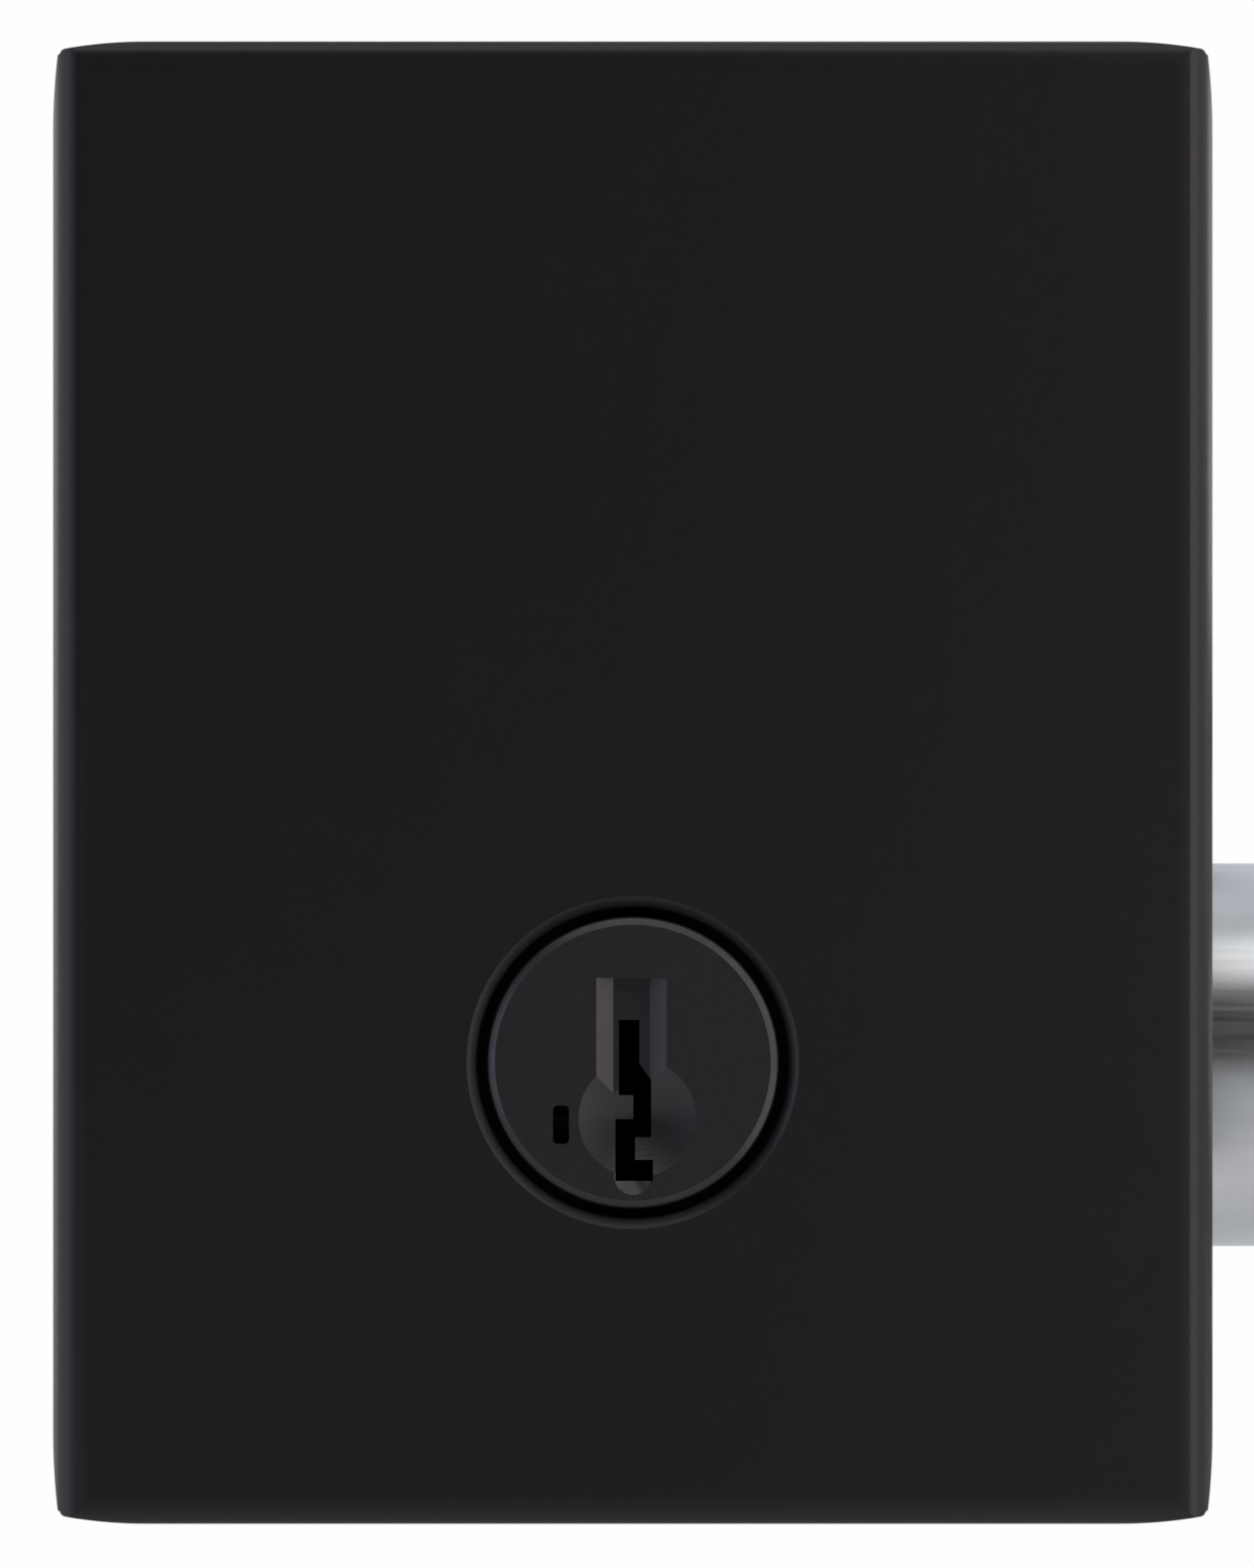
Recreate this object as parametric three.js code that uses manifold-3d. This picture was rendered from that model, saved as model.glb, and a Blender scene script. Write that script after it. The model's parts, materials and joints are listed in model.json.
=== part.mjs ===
// Single-cylinder deadbolt: outside cover and cylinder, latch with bolt, inside thumbturn.
// Millimetres, +Z up. The outside face looks along -Y, the bolt points along +X, and the origin is
// the cylinder's axis at the door's outside face.
import * as THREE from "three";
import { mergeVertices } from "three/addons/utils/BufferGeometryUtils.js";
import Module from "manifold-3d";

const wasm = await Module();
wasm.setup();

// ---- Driving dimensions ----
const doorThickness = 44.45;
const backset = 60.3;
const boltThrow = 25.4;
const gap = 0.3;              // between pieces that touch in the real lock
const round = 40;             // sides of a large round piece
const slack = 0.4;            // around screws and fixed pieces in their holes

// Cover and rose
const coverWidth = 72;
const coverAbove = 63.3;      // cylinder axis to top edge
const coverProjection = 13;   // least depth of the cover, which a long cylinder makes deeper
const coverWall = 2.2;
const sideRoll = 2.4;
const faceEdge = 0.9;
const outlineCorner = 1.2;
const roseDepth = 14;

// Cylinder
const plugHeadRadius = 9.05;
const plugRadius = 8.4;
const plugHeadDepth = 2.2;
const plugRun = 0.25;         // running clearance round the plug
const coverHoleRim = 0.75;    // groove between plug head and cover
const coverChamfer = 0.6;
const shellRadius = 13.4;
const pinCount = 5;
const pinPitch = 3.81;
const firstPin = 6.3;         // plug face to first pin
const pinRadius = 1.3;
const pinHoleRadius = 1.45;
const pinX = -0.25;
const pinBottom = -1.2;
const pinLength = 4.6;
const pinLift = 2.2;
const pinSpringLength = 3.2;
const springCoverWidth = 3.6;
const springCoverThickness = 0.7;
const rackThickness = 1.35;
const rackWidth = 1.8;
const rackHeight = 5.4;
const toothPitch = 1.2;
const carrierThickness = 1.2;
const sidebarThickness = 2;
const sidebarTravel = 1;
const guardPinRadius = 1;
const guardPinPlace = 11.5;     // from the cylinder's axis, out of sight under the cover
const guardPinLength = 8;
const plugEndWall = 1.6;        // behind the last pin's hole
const tailLength = 3.2;
const neckDepth = 2.2;          // the clip's groove, from the plug's radius
const tailDepth = 1.4;          // the plug's tail, from its radius
const clipThickness = 1;
const plugClipRadius = 10.4;
const plugClipMouth = 8.6;
const slotWall = 1.2;           // between a pin's hole and the end of the sidebar's groove
const through = 1;              // how far a cutter runs past the face that it cuts

// Blade and cam
const bladeWidth = 6.4;
const bladeThickness = 2.4;
const bladeSeat = 0.6;        // metal between the plug's neck and the slot for the blade
const bladeReach = 2;         // how far the slot runs into the shaft past the inside face
const hubRadius = 5.8;
const journalRadius = 5;
const crankPinRadius = 2;
const notchSlack = 0.75;      // a crank pin moves on an arc while the bolt slides evenly
const armThickness = 3.2;
const rivetHole = 1.8;

// Latch
const caseHalfDepth = 6.7;
const sheet = 1.2;
const caseEar = 4.5;          // metal round the cam's journals
const tubeRadius = 12.2;
const boltDepth = 13;
const boltHeight = 18;
const boltCorner = 2;
const earRoom = 1.45;         // between the tail's ear and the case's tube
const tailRoom = 0.7;         // between the plug's tail and the latch case
const tailThickness = 2.5;
const faceplateWidth = 25.4;
const faceplateHeight = 57.15;
const faceplateThickness = 2.2;
const faceplateCorner = 6.35;
const faceplateScrewSpacing = 41.3;
const screwLength = 19;

// Fasteners and inside half
const throughBoltRadius = 1.95;
const postRadius = 3.5;
const coverScrewX = 20;
const coverScrewZ = 33;
const coverScrew = { shank: 1.4, length: 6.5, head: 2.7, headHeight: 1.7, pilot: 1.7, hole: 1.8 };
const adapterFront = -4.6;
const adapterThickness = 2;
const adapterLip = { wall: 2, back: 6 };
const adapterEar = { side: 5, top: 6 };
const postBack = 8;             // the shell's threaded posts end inside the door
const postFloor = 1.5;          // metal left in front of a post's hole
const interiorPlateThickness = 1.8;
const shaftRadius = 6;
const turnHubRadius = 9;
const turnHubDepth = 9;
const paddleStart = 4;        // from the hub's back
const turnLength = 34;
const turnThickness = 6.4;
const turnDepth = 21.5;

// ---- Sizes that follow ----
const armRadius = boltThrow / Math.SQRT2;
const tipRadius = crankPinRadius + 0.1;
const throughBoltZ = armRadius + tipRadius + slack + throughBoltRadius + 0.1;
const adapterRadius = throughBoltZ + postRadius;
const coverBelow = adapterRadius + slack + coverWall;
const plateY = doorThickness / 2;
const pinRow = firstPin + (pinCount - 1) * pinPitch + pinHoleRadius;
const plugLength = pinRow + plugEndWall + tailLength;
const coverDepth = Math.max(coverProjection, plugLength + tailRoom + caseHalfDepth - plateY);
const faceY = -coverDepth;
const shellFront = faceY + coverWall + gap;
const shellHeadBack = faceY + plugHeadDepth;
const pinYs = Array.from({ length: pinCount }, (_, i) => faceY + firstPin + i * pinPitch);
const lastPin = pinYs[pinCount - 1];
const plugBack = faceY + pinRow + plugEndWall;
const tailBack = plugBack + tailLength;
const boltFront = backset + boltThrow;
const notch = { x: armRadius / Math.SQRT2, half: crankPinRadius + notchSlack, wall: 3 };
const caseFront = notch.x + notch.half + notch.wall + earRoom;
const boltRear = caseFront + sheet + gap + boltThrow;
const backplateRear = backset - faceplateThickness - gap - sheet;
const pinTop = pinBottom + pinLength;
const springCoverBottom = pinTop + gap + pinSpringLength + gap;
const rackX = pinX - pinRadius - 0.2 - rackThickness;
const carrierX = rackX - gap - carrierThickness;

// ---- Shape helpers ----
// A closed three.js geometry becomes a solid with shared vertices and outward faces.
function solid(geometry) {
  const bare = geometry.clone();
  bare.deleteAttribute("normal");
  bare.deleteAttribute("uv");
  const merged = mergeVertices(bare, 1e-4);
  const points = merged.getAttribute("position").array;
  const corners = [];
  const index = merged.index.array;
  const at = (i) => new THREE.Vector3().fromArray(points, 3 * i);
  let volume = 0;
  for (let i = 0; i < index.length; i += 3) {
    const [a, b, c] = [index[i], index[i + 1], index[i + 2]];
    if (a === b || b === c || c === a) continue;
    corners.push(a, b, c);
    volume += at(a).dot(at(b).cross(at(c)));
  }
  if (volume < 0) corners.reverse();
  const mesh = new wasm.Mesh({
    numProp: 3,
    vertProperties: new Float32Array(points),
    triVerts: new Uint32Array(corners),
  });
  return new wasm.Manifold(mesh);
}

function block(x0, x1, y0, y1, z0, z1) {
  const box = new THREE.BoxGeometry(x1 - x0, y1 - y0, z1 - z0);
  return solid(box.translate((x0 + x1) / 2, (y0 + y1) / 2, (z0 + z1) / 2));
}

// Revolves [radius, y] points about the Y axis, moved to (x, z).
function turned(points, x = 0, z = 0, sides = 20) {
  const profile = points.map(([r, y]) => new THREE.Vector2(r, y));
  return solid(new THREE.LatheGeometry(profile, sides).translate(x, 0, z));
}

function rod(radius, y0, y1, x = 0, z = 0, sides = 20) {
  return turned([[0, y0], [radius, y0], [radius, y1], [0, y1]], x, z, sides);
}

function rodX(radius, x0, x1, y, z, sides = 16) {
  const cylinder = new THREE.CylinderGeometry(radius, radius, x1 - x0, sides).rotateZ(Math.PI / 2);
  return solid(cylinder.translate((x0 + x1) / 2, y, z));
}

function rodZ(radius, z0, z1, x, y, sides = 16) {
  const cylinder = new THREE.CylinderGeometry(radius, radius, z1 - z0, sides).rotateX(Math.PI / 2);
  return solid(cylinder.translate(x, y, (z0 + z1) / 2));
}

function outline(points) {
  return new THREE.Shape(points.map(([a, b]) => new THREE.Vector2(a, b)));
}

// A rectangle with a radius for each corner: low-low, high-low, high-high, low-high.
function rounded(a0, a1, b0, b1, radii) {
  const shape = new THREE.Shape();
  const corners = [[a0, b0], [a1, b0], [a1, b1], [a0, b1]];
  const inward = [[1, 1], [-1, 1], [-1, -1], [1, -1]];
  corners.forEach(([a, b], i) => {
    const r = radii[i];
    const start = Math.PI + (i * Math.PI) / 2;
    const [centreA, centreB] = [a + inward[i][0] * r, b + inward[i][1] * r];
    const first = [centreA + r * Math.cos(start), centreB + r * Math.sin(start)];
    if (i === 0) shape.moveTo(...first);
    else shape.lineTo(...first);
    if (r > 0) shape.absarc(centreA, centreB, r, start, start + Math.PI / 2);
  });
  shape.closePath();
  return shape;
}

// Extrusions of an outline drawn in (x, y), (x, z) or (y, z).
function alongZ(shape, z0, z1, curveSegments = 3) {
  const geometry = new THREE.ExtrudeGeometry(shape, { depth: z1 - z0, bevelEnabled: false, curveSegments });
  return solid(geometry.translate(0, 0, z0));
}

function alongY(shape, y0, y1, curveSegments = 3) {
  const geometry = new THREE.ExtrudeGeometry(shape, { depth: y1 - y0, bevelEnabled: false, curveSegments });
  return solid(geometry.rotateX(Math.PI / 2).translate(0, y1, 0));
}

function alongX(shape, x0, x1, curveSegments = 3) {
  const geometry = new THREE.ExtrudeGeometry(shape, { depth: x1 - x0, bevelEnabled: false, curveSegments });
  const turn = new THREE.Matrix4().makeBasis(
    new THREE.Vector3(0, 1, 0), new THREE.Vector3(0, 0, 1), new THREE.Vector3(1, 0, 0));
  return solid(geometry.applyMatrix4(turn).translate(x0, 0, 0));
}

function union(...shapes) {
  return shapes.reduce((whole, next) => whole.add(next));
}

function cut(shape, ...tools) {
  return tools.reduce((whole, tool) => whole.subtract(tool), shape);
}

class Coil extends THREE.Curve {
  constructor(radius, length, turns) {
    super();
    Object.assign(this, { radius, length, turns });
  }

  getPoint(t, target = new THREE.Vector3()) {
    const angle = 2 * Math.PI * this.turns * t;
    return target.set(this.radius * Math.cos(angle), this.radius * Math.sin(angle), this.length * t);
  }
}

// A coil spring standing on the origin along +Z.
function coilSpring(radius, wire, length, turns) {
  const section = new THREE.Shape().absarc(0, 0, wire, 0, 2 * Math.PI);
  const path = new Coil(radius, length - 2 * wire, turns);
  const settings = { extrudePath: path, steps: turns * 7, curveSegments: 3, bevelEnabled: false };
  return solid(new THREE.ExtrudeGeometry(section, settings).translate(0, 0, wire));
}

// ---- Scene ----
const looks = {
  black: { color: 0x1c1d1f, roughness: 0.5, metalness: 0.2 },
  plugBlack: { color: 0x212123, roughness: 0.45, metalness: 0.4 },
  steel: { color: 0xa9acb0, roughness: 0.35, metalness: 1 },
  hardened: { color: 0x6f7276, roughness: 0.3, metalness: 1 },
  brass: { color: 0xb79a55, roughness: 0.35, metalness: 1 },
  castZinc: { color: 0x8e9194, roughness: 0.5, metalness: 1 },
};

const lock = new THREE.Group();

function place(parent, name, shape, look, position = [0, 0, 0]) {
  const { vertProperties, triVerts } = shape.getMesh();
  const geometry = new THREE.BufferGeometry();
  geometry.setAttribute("position", new THREE.BufferAttribute(vertProperties, 3));
  geometry.setIndex(Array.from(triVerts));
  geometry.computeVertexNormals();
  const mesh = new THREE.Mesh(geometry, new THREE.MeshStandardMaterial(looks[look]));
  mesh.name = name;
  mesh.position.set(...position);
  parent.add(mesh);
  return mesh;
}

function section(y = 0) {
  const group = new THREE.Group();
  group.position.y = y;
  lock.add(group);
  return group;
}

// ---- Outside half ----
const screwXs = { left: -coverScrewX, right: coverScrewX };
const postZs = { upper: throughBoltZ, lower: -throughBoltZ };

// A hollow rectangular cover with its face at y = -depth and its open back at y = 0.
function hollowCover(depth) {
  const half = coverWidth / 2;
  const plan = rounded(-half, half, -depth, 0, [sideRoll, sideRoll, 0, 0]);
  const profile = rounded(-depth, 0, -coverBelow, coverAbove, [faceEdge, 0, 0, faceEdge]);
  const corners = Array(4).fill(outlineCorner);
  const front = rounded(-half, half, -coverBelow, coverAbove, corners);
  const outside = alongZ(plan, -coverBelow, coverAbove)
    .intersect(alongX(profile, -half, half))
    .intersect(alongY(front, -depth, 0));
  const inside = block(
    -half + coverWall, half - coverWall,
    -depth + coverWall, through,
    -coverBelow + coverWall, coverAbove - coverWall);
  return cut(outside, inside);
}

const adapterBack = adapterFront + adapterThickness;

function exteriorCover() {
  const holeRadius = plugHeadRadius + coverHoleRim;
  const chamfer = turned([
    [0, faceY - through],
    [holeRadius + coverChamfer + through, faceY - through],
    [holeRadius, faceY + coverChamfer],
    [0, faceY + coverChamfer],
  ], 0, 0, round);
  const hole = rod(holeRadius, faceY - through, faceY + coverWall + through, 0, 0, round);
  let cover = hollowCover(coverDepth);
  for (const x of Object.values(screwXs)) {
    const post = rod(postRadius, faceY + coverWall / 2, adapterFront - gap, x, coverScrewZ);
    const pilot = rod(coverScrew.pilot, faceY + coverWall + through, 0, x, coverScrewZ, 12);
    cover = cut(union(cover, post), pilot);
  }
  return cut(cover, hole, chamfer);
}

// Two ears carry the threaded posts that the through bolts pull on.
function cylinderShell() {
  const barBack = adapterFront - slack;
  const bar = block(-postRadius, postRadius, shellFront, barBack, -throughBoltZ, throughBoltZ);
  let shell = union(rod(shellRadius, shellFront, plugBack, 0, 0, round), bar);
  for (const z of Object.values(postZs)) {
    const hole = rod(throughBoltRadius + gap, shellFront + postFloor, postBack + through, 0, z, 16);
    shell = cut(union(shell, rod(postRadius, shellFront, postBack, 0, z)), hole);
  }
  shell = cut(shell, rod(plugRadius + plugRun, shellFront - through, plugBack + through, 0, 0, round));
  for (const x of [-1, 1]) {
    const at = guardPinPlace * Math.SQRT1_2;
    const end = shellFront + guardPinLength + gap;
    shell = cut(shell, rod(guardPinRadius + gap, shellFront - through, end, x * at, at, 12));
  }
  // The sidebar drops into a groove at rest and into another one after the quarter turn.
  const reachOut = plugRadius + sidebarTravel + 0.35;
  const [near, far] = [pinYs[0] - pinHoleRadius - slotWall, lastPin + pinHoleRadius + slotWall];
  const slot = (sidebarThickness + 2 * gap) / 2;
  return cut(
    shell,
    block(-reachOut, 0, near, far, -slot, slot),
    block(-slot, slot, near, far, -reachOut, 0));
}

function mountingAdapter() {
  const plate = union(
    rod(adapterRadius, adapterFront, adapterBack, 0, 0, round),
    block(
      -coverScrewX - adapterEar.side, coverScrewX + adapterEar.side,
      adapterFront, adapterBack, 0, coverScrewZ + adapterEar.top));
  const ring = cut(
    rod(adapterRadius, adapterBack - 0.5, adapterLip.back, 0, 0, round),
    rod(adapterRadius - adapterLip.wall, adapterBack - through, adapterLip.back + through, 0, 0, round));
  const [near, far] = [adapterFront - through, adapterLip.back + through];
  let adapter = cut(union(plate, ring), rod(shellRadius + slack, near, far, 0, 0, round));
  for (const z of Object.values(postZs)) adapter = cut(adapter, rod(postRadius + slack, near, far, 0, z));
  for (const x of Object.values(screwXs)) {
    adapter = cut(adapter, rod(coverScrew.hole, near, far, x, coverScrewZ, 12));
  }
  return adapter;
}

// A pan-head screw along -Y with its head's underside at y = 0.
function panScrew(shank, length, head, headHeight) {
  return turned([
    [0, -length],
    [shank, -length],
    [shank, 0],
    [head, 0],
    [head, headHeight * 0.55],
    [head * 0.75, headHeight],
    [0, headHeight],
  ], 0, 0, 16);
}

// A cross recess that is cut into a head whose top is at y = 0.
function crossRecess(size, depth) {
  return union(
    block(-size, size, -depth, through, -size / 4, size / 4),
    block(-size / 4, size / 4, -depth, through, -size, size));
}

function buildExterior() {
  const exterior = section();
  place(exterior, "exterior_cover", exteriorCover(), "black");
  place(exterior, "cylinder_shell", cylinderShell(), "castZinc");
  place(exterior, "mounting_adapter", mountingAdapter(), "castZinc");
  const { shank, length, head, headHeight } = coverScrew;
  const recess = crossRecess(head * 0.55, headHeight / 2).translate([0, headHeight, 0]);
  const screw = cut(panScrew(shank, length, head, headHeight), recess);
  for (const [side, x] of Object.entries(screwXs)) {
    place(exterior, `cover_screw_${side}`, screw, "steel", [x, adapterBack + gap, coverScrewZ]);
  }
  const guard = rod(guardPinRadius, 0, guardPinLength, 0, 0, 12);
  const at = guardPinPlace * Math.SQRT1_2;
  place(exterior, "guard_pin_left", guard, "hardened", [-at, shellFront, at]);
  place(exterior, "guard_pin_right", guard, "hardened", [at, shellFront, at]);
}

// ---- Plug and what turns with it ----
const keyway = [
  [0.41, 2.64], [0.41, -0.06], [1.14, -1.1], [1.14, -4.65], [0.14, -4.65], [0.14, -6.03],
  [1.25, -6.03], [1.25, -7.35], [-1.08, -7.35], [-1.08, -3.52], [0.03, -3.52], [0.03, -2.04],
  [-0.87, -2.04], [-0.87, 2.64],
];
const pocketY = [pinYs[0] - pinHoleRadius - 0.4, lastPin + pinHoleRadius + 0.4];
const pocketZ = [-3.4, pinBottom + rackHeight + pinLift + 0.4];
const toolSlot = { x: [-4.9, -3.9], z: [-5.1, -2.4] };

function plugBody() {
  const clipGrooveEnd = plugBack + clipThickness + 2 * gap;
  let plug = turned([
    [0, faceY],
    [plugHeadRadius, faceY],
    [plugHeadRadius, shellHeadBack],
    [plugRadius, shellHeadBack],
    [plugRadius, plugBack],
    [plugRadius - neckDepth, plugBack],
    [plugRadius - neckDepth, clipGrooveEnd],
    [plugRadius - tailDepth, clipGrooveEnd],
    [plugRadius - tailDepth, tailBack],
    [0, tailBack],
  ], 0, 0, round);
  const outside = plugHeadRadius + through;
  plug = cut(plug, alongY(outline(keyway), faceY - through, lastPin + pinHoleRadius + 0.2));
  for (const y of pinYs) plug = cut(plug, rodZ(pinHoleRadius, pinBottom - gap, outside, pinX, y, 12));
  const strip = springCoverWidth / 2 + gap;
  plug = cut(
    plug,
    block(pinX - strip, pinX + strip, ...pocketY, springCoverBottom - gap, outside),
    block(-outside, pinX - pinRadius - 0.05, ...pocketY, ...pocketZ),
    block(...toolSlot.x, faceY - through, pocketY[0] + through, ...toolSlot.z));
  return cut(plug, bladeSlot(plugBack + bladeSeat, tailBack + through));
}

// The slot that takes the torque blade.
function bladeSlot(y0, y1) {
  const [w, t] = [bladeWidth / 2 + gap, bladeThickness / 2 + gap];
  return block(-t, t, y0, y1, -w, w);
}

// A clip whose mouth looks up.
function openRing(inner, outer, y0, y1, mouth) {
  const [near, far] = [y0 - through, y1 + through];
  const ring = cut(rod(outer, y0, y1), rod(inner, near, far));
  return cut(ring, block(-mouth / 2, mouth / 2, near, far, 0, outer + through));
}

function pinShape() {
  const profile = [[0, 0], [0.45, 0], [pinRadius, 0.9]];
  const waist = pinRadius - 0.25;
  for (let z = 1.6; z < pinLength - 0.7; z += toothPitch) {
    profile.push([pinRadius, z], [waist, z + 0.15], [waist, z + 0.4], [pinRadius, z + 0.55]);
  }
  profile.push([pinRadius, pinLength], [0, pinLength]);
  const points = profile.map(([r, z]) => new THREE.Vector2(r, z));
  return solid(new THREE.LatheGeometry(points, 12).rotateX(Math.PI / 2));
}

// A flat rack with teeth towards its pin.
function rackShape() {
  const tip = rackX + rackThickness;
  const root = tip - 0.3;
  const points = [[rackX, 0], [root, 0]];
  for (let z = toothPitch / 2; z < rackHeight - 0.8; z += toothPitch) {
    points.push([root, z], [tip, z + 0.2], [tip, z + 0.4], [root, z + 0.6]);
  }
  points.push([root, rackHeight], [rackX, rackHeight]);
  return alongY(outline(points), -rackWidth / 2, rackWidth / 2);
}

function rackCarrier() {
  const [near, far] = [pocketY[0] + gap, pocketY[1] - gap];
  const [low, high] = [pocketZ[0] + gap, pocketZ[1] - gap];
  const fenceTip = rackX + rackThickness * 0.6;
  let carrier = block(carrierX, carrierX + carrierThickness, near, far, low, high);
  for (let i = 0; i < pinCount - 1; i += 1) {
    const y = (pinYs[i] + pinYs[i + 1]) / 2;
    carrier = union(carrier, block(carrierX, fenceTip, y - 0.5, y + 0.5, low, high));
  }
  return carrier;
}

const sidebarX = [-plugRadius + 0.35, carrierX - 2];

function sidebarShape() {
  const half = sidebarThickness / 2;
  const points = [[sidebarX[1], -half], [sidebarX[1], half], [sidebarX[0] + 0.8, half],
    [sidebarX[0], half * 0.4], [sidebarX[0], -half * 0.4], [sidebarX[0] + 0.8, -half]];
  return alongY(outline(points), pocketY[0] + gap, pocketY[1] - gap);
}

function buildPlug() {
  const core = section();
  place(core, "plug", plugBody(), "plugBlack");
  const clipY = plugBack + gap;
  const clipInner = plugRadius - neckDepth + gap;
  const clip = openRing(clipInner, plugClipRadius, clipY, clipY + clipThickness, plugClipMouth);
  place(core, "plug_clip", clip, "steel");
  place(core, "rack_carrier", rackCarrier(), "brass");
  const cover = block(
    pinX - springCoverWidth / 2, pinX + springCoverWidth / 2,
    pocketY[0] + gap, pocketY[1] - gap,
    springCoverBottom, springCoverBottom + springCoverThickness);
  place(core, "spring_cover", cover, "steel");
  const pin = pinShape();
  const rack = rackShape();
  const spring = coilSpring(0.9, 0.18, pinSpringLength, 3);
  pinYs.forEach((y, i) => {
    place(core, `pin_${i + 1}`, pin, "brass", [pinX, y, pinBottom]);
    place(core, `rack_${i + 1}`, rack, "brass", [0, y, pinBottom]);
    place(core, `pin_spring_${i + 1}`, spring, "steel", [pinX, y, pinTop + gap]);
  });
  place(core, "sidebar", sidebarShape(), "brass");
  const room = carrierX - sidebarX[1] - 2 * gap;
  const small = coilSpring(0.6, 0.12, room, 3);
  const sides = { front: pinYs[0] + 1.2, rear: lastPin - 1.2 };
  for (const [side, y] of Object.entries(sides)) {
    const mesh = place(core, `sidebar_spring_${side}`, small, "steel", [sidebarX[1] + gap, y, 0]);
    mesh.rotation.y = Math.PI / 2;
  }
}

// ---- Latch, drawn about its own centre plane ----
const sideInner = caseHalfDepth - sheet;
const hubHalf = sideInner - 0.7;
const tailY = [-sideInner + 0.8, -sideInner + 0.8 + tailThickness];
const armY = [tailY[1] + 0.6, tailY[1] + 0.6 + armThickness];
const forkInner = hubRadius + 0.5;
const forkOuter = forkInner + 3.2;
const tongue = { z: 5, front: boltRear + 12 };
const earTop = armRadius + 0.6;
const rivetX = boltRear + 6;
const screwZs = { upper: faceplateScrewSpacing / 2, lower: -faceplateScrewSpacing / 2 };

const pinCap = 4;             // of bolt in front of the hardened pins
const antiSaw = { radius: 1.9, y: 2.6, z: 4.4, from: boltRear + 1, to: boltFront - pinCap - slack };

function boltSection(grow) {
  const [d, h, r] = [boltDepth / 2 + grow, boltHeight / 2 + grow, boltCorner];
  return rounded(-d, d, -h, h, [r, r, r, r]);
}

function boltCase() {
  const tubeFront = backplateRear - gap;
  let tube = rodX(tubeRadius, caseFront, tubeFront, 0, 0, round);
  tube = cut(tube, rodX(tubeRadius - sheet, caseFront + sheet, tubeFront + through, 0, 0, round));
  const window = block(
    caseFront - through, caseFront + sheet + through,
    -sideInner + 0.3, sideInner - 0.3,
    -forkOuter - slack, forkOuter + slack);
  tube = cut(tube, window);
  const sides = [-1, 1].map((side) => {
    const rear = -journalRadius - caseEar;
    const shape = rounded(rear, caseFront + sheet / 2, -forkOuter, forkOuter, [4, 0, 0, 4]);
    const inner = side * sideInner;
    const outer = side * caseHalfDepth;
    const wall = alongY(shape, Math.min(inner, outer), Math.max(inner, outer));
    return cut(wall, rod(journalRadius + gap, -caseHalfDepth - through, caseHalfDepth + through));
  });
  return union(tube, ...sides);
}

function latchPlate(x0, x1, holeGrow, screwHole) {
  const [w, h, r] = [faceplateWidth / 2, faceplateHeight / 2, faceplateCorner];
  let plate = alongX(rounded(-w, w, -h, h, [r, r, r, r]), x0, x1);
  const [rear, front] = [x0 - through, x1 + through];
  plate = cut(plate, alongX(boltSection(holeGrow), rear, front));
  for (const z of Object.values(screwZs)) plate = cut(plate, rodX(screwHole, rear, front, 0, z));
  return plate;
}

const screwHead = { radius: 4, depth: 2.1, shank: 1.9 };

// Countersunk screw along -X with its flat head at x = 0.
function flatScrew() {
  const { radius, depth, shank } = screwHead;
  const profile = [[0, 0], [radius, 0], [shank, depth], [shank, screwLength - 3], [0.3, screwLength],
    [0, screwLength]];
  const screw = turned(profile, 0, 0, 16).rotate([0, 0, 90]);
  const recess = crossRecess(2, 1.1).rotate([0, 0, -90]);
  return cut(screw, recess);
}

function faceplate() {
  const { radius, depth, shank } = screwHead;
  const back = backset - faceplateThickness;
  let plate = latchPlate(back, backset, gap, shank + slack);
  for (const z of Object.values(screwZs)) {
    const sink = turned([
      [0, -through],
      [radius + gap + through, -through],
      [shank + gap, depth + gap],
      [0, depth + gap],
    ], 0, 0, 16);
    plate = cut(plate, sink.rotate([0, 0, 90]).translate([backset, 0, z]));
  }
  return plate;
}

function deadBolt() {
  const nose = 0.8;
  const side = rounded(boltRear, boltFront, -boltHeight / 2, boltHeight / 2, [0, nose, nose, 0]);
  const top = rounded(boltRear, boltFront, -boltDepth / 2, boltDepth / 2, [0, nose, nose, 0]);
  const bolt = alongX(boltSection(0), boltRear, boltFront)
    .intersect(alongY(side, -boltDepth, boltDepth))
    .intersect(alongZ(top, -boltHeight, boltHeight));
  const slotTop = tailY[1] + gap;
  const [rear, front] = [boltRear - through, boltFront - pinCap];
  return cut(
    bolt,
    block(rear, tongue.front + gap, tailY[0] - gap, slotTop, -tongue.z - gap, tongue.z + gap),
    rod(rivetHole, -boltDepth, slotTop + 3, rivetX, 0, 12),
    rodX(antiSaw.radius + gap, rear, front, antiSaw.y, antiSaw.z),
    rodX(antiSaw.radius + gap, rear, front, antiSaw.y, -antiSaw.z));
}


// A plate with a fork round the hub, an upright ear whose notch takes the crank pin, and a tongue.
function boltTail() {
  const rear = notch.x - notch.half - notch.wall;
  const forkFront = boltThrow + forkInner + 0.4;
  const points = [
    [rear, forkInner], [rear, earTop], [notch.x - notch.half, earTop],
    [notch.x - notch.half, notch.x - crankPinRadius - 1],
    [notch.x + notch.half, notch.x - crankPinRadius - 1],
    [notch.x + notch.half, earTop], [notch.x + notch.half + notch.wall, earTop],
    [notch.x + notch.half + notch.wall, forkOuter], [boltRear - 2, forkOuter], [boltRear - 2, tongue.z],
    [tongue.front, tongue.z], [tongue.front, -tongue.z], [boltRear - 2, -tongue.z],
    [boltRear - 2, -forkOuter], [rear, -forkOuter], [rear, -forkInner], [forkFront, -forkInner],
    [forkFront, forkInner],
  ];
  const tail = alongY(outline(points), tailY[0], tailY[1]);
  return cut(tail, rod(rivetHole, tailY[0] - through, tailY[1] + through, rivetX, 0, 12));
}

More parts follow.
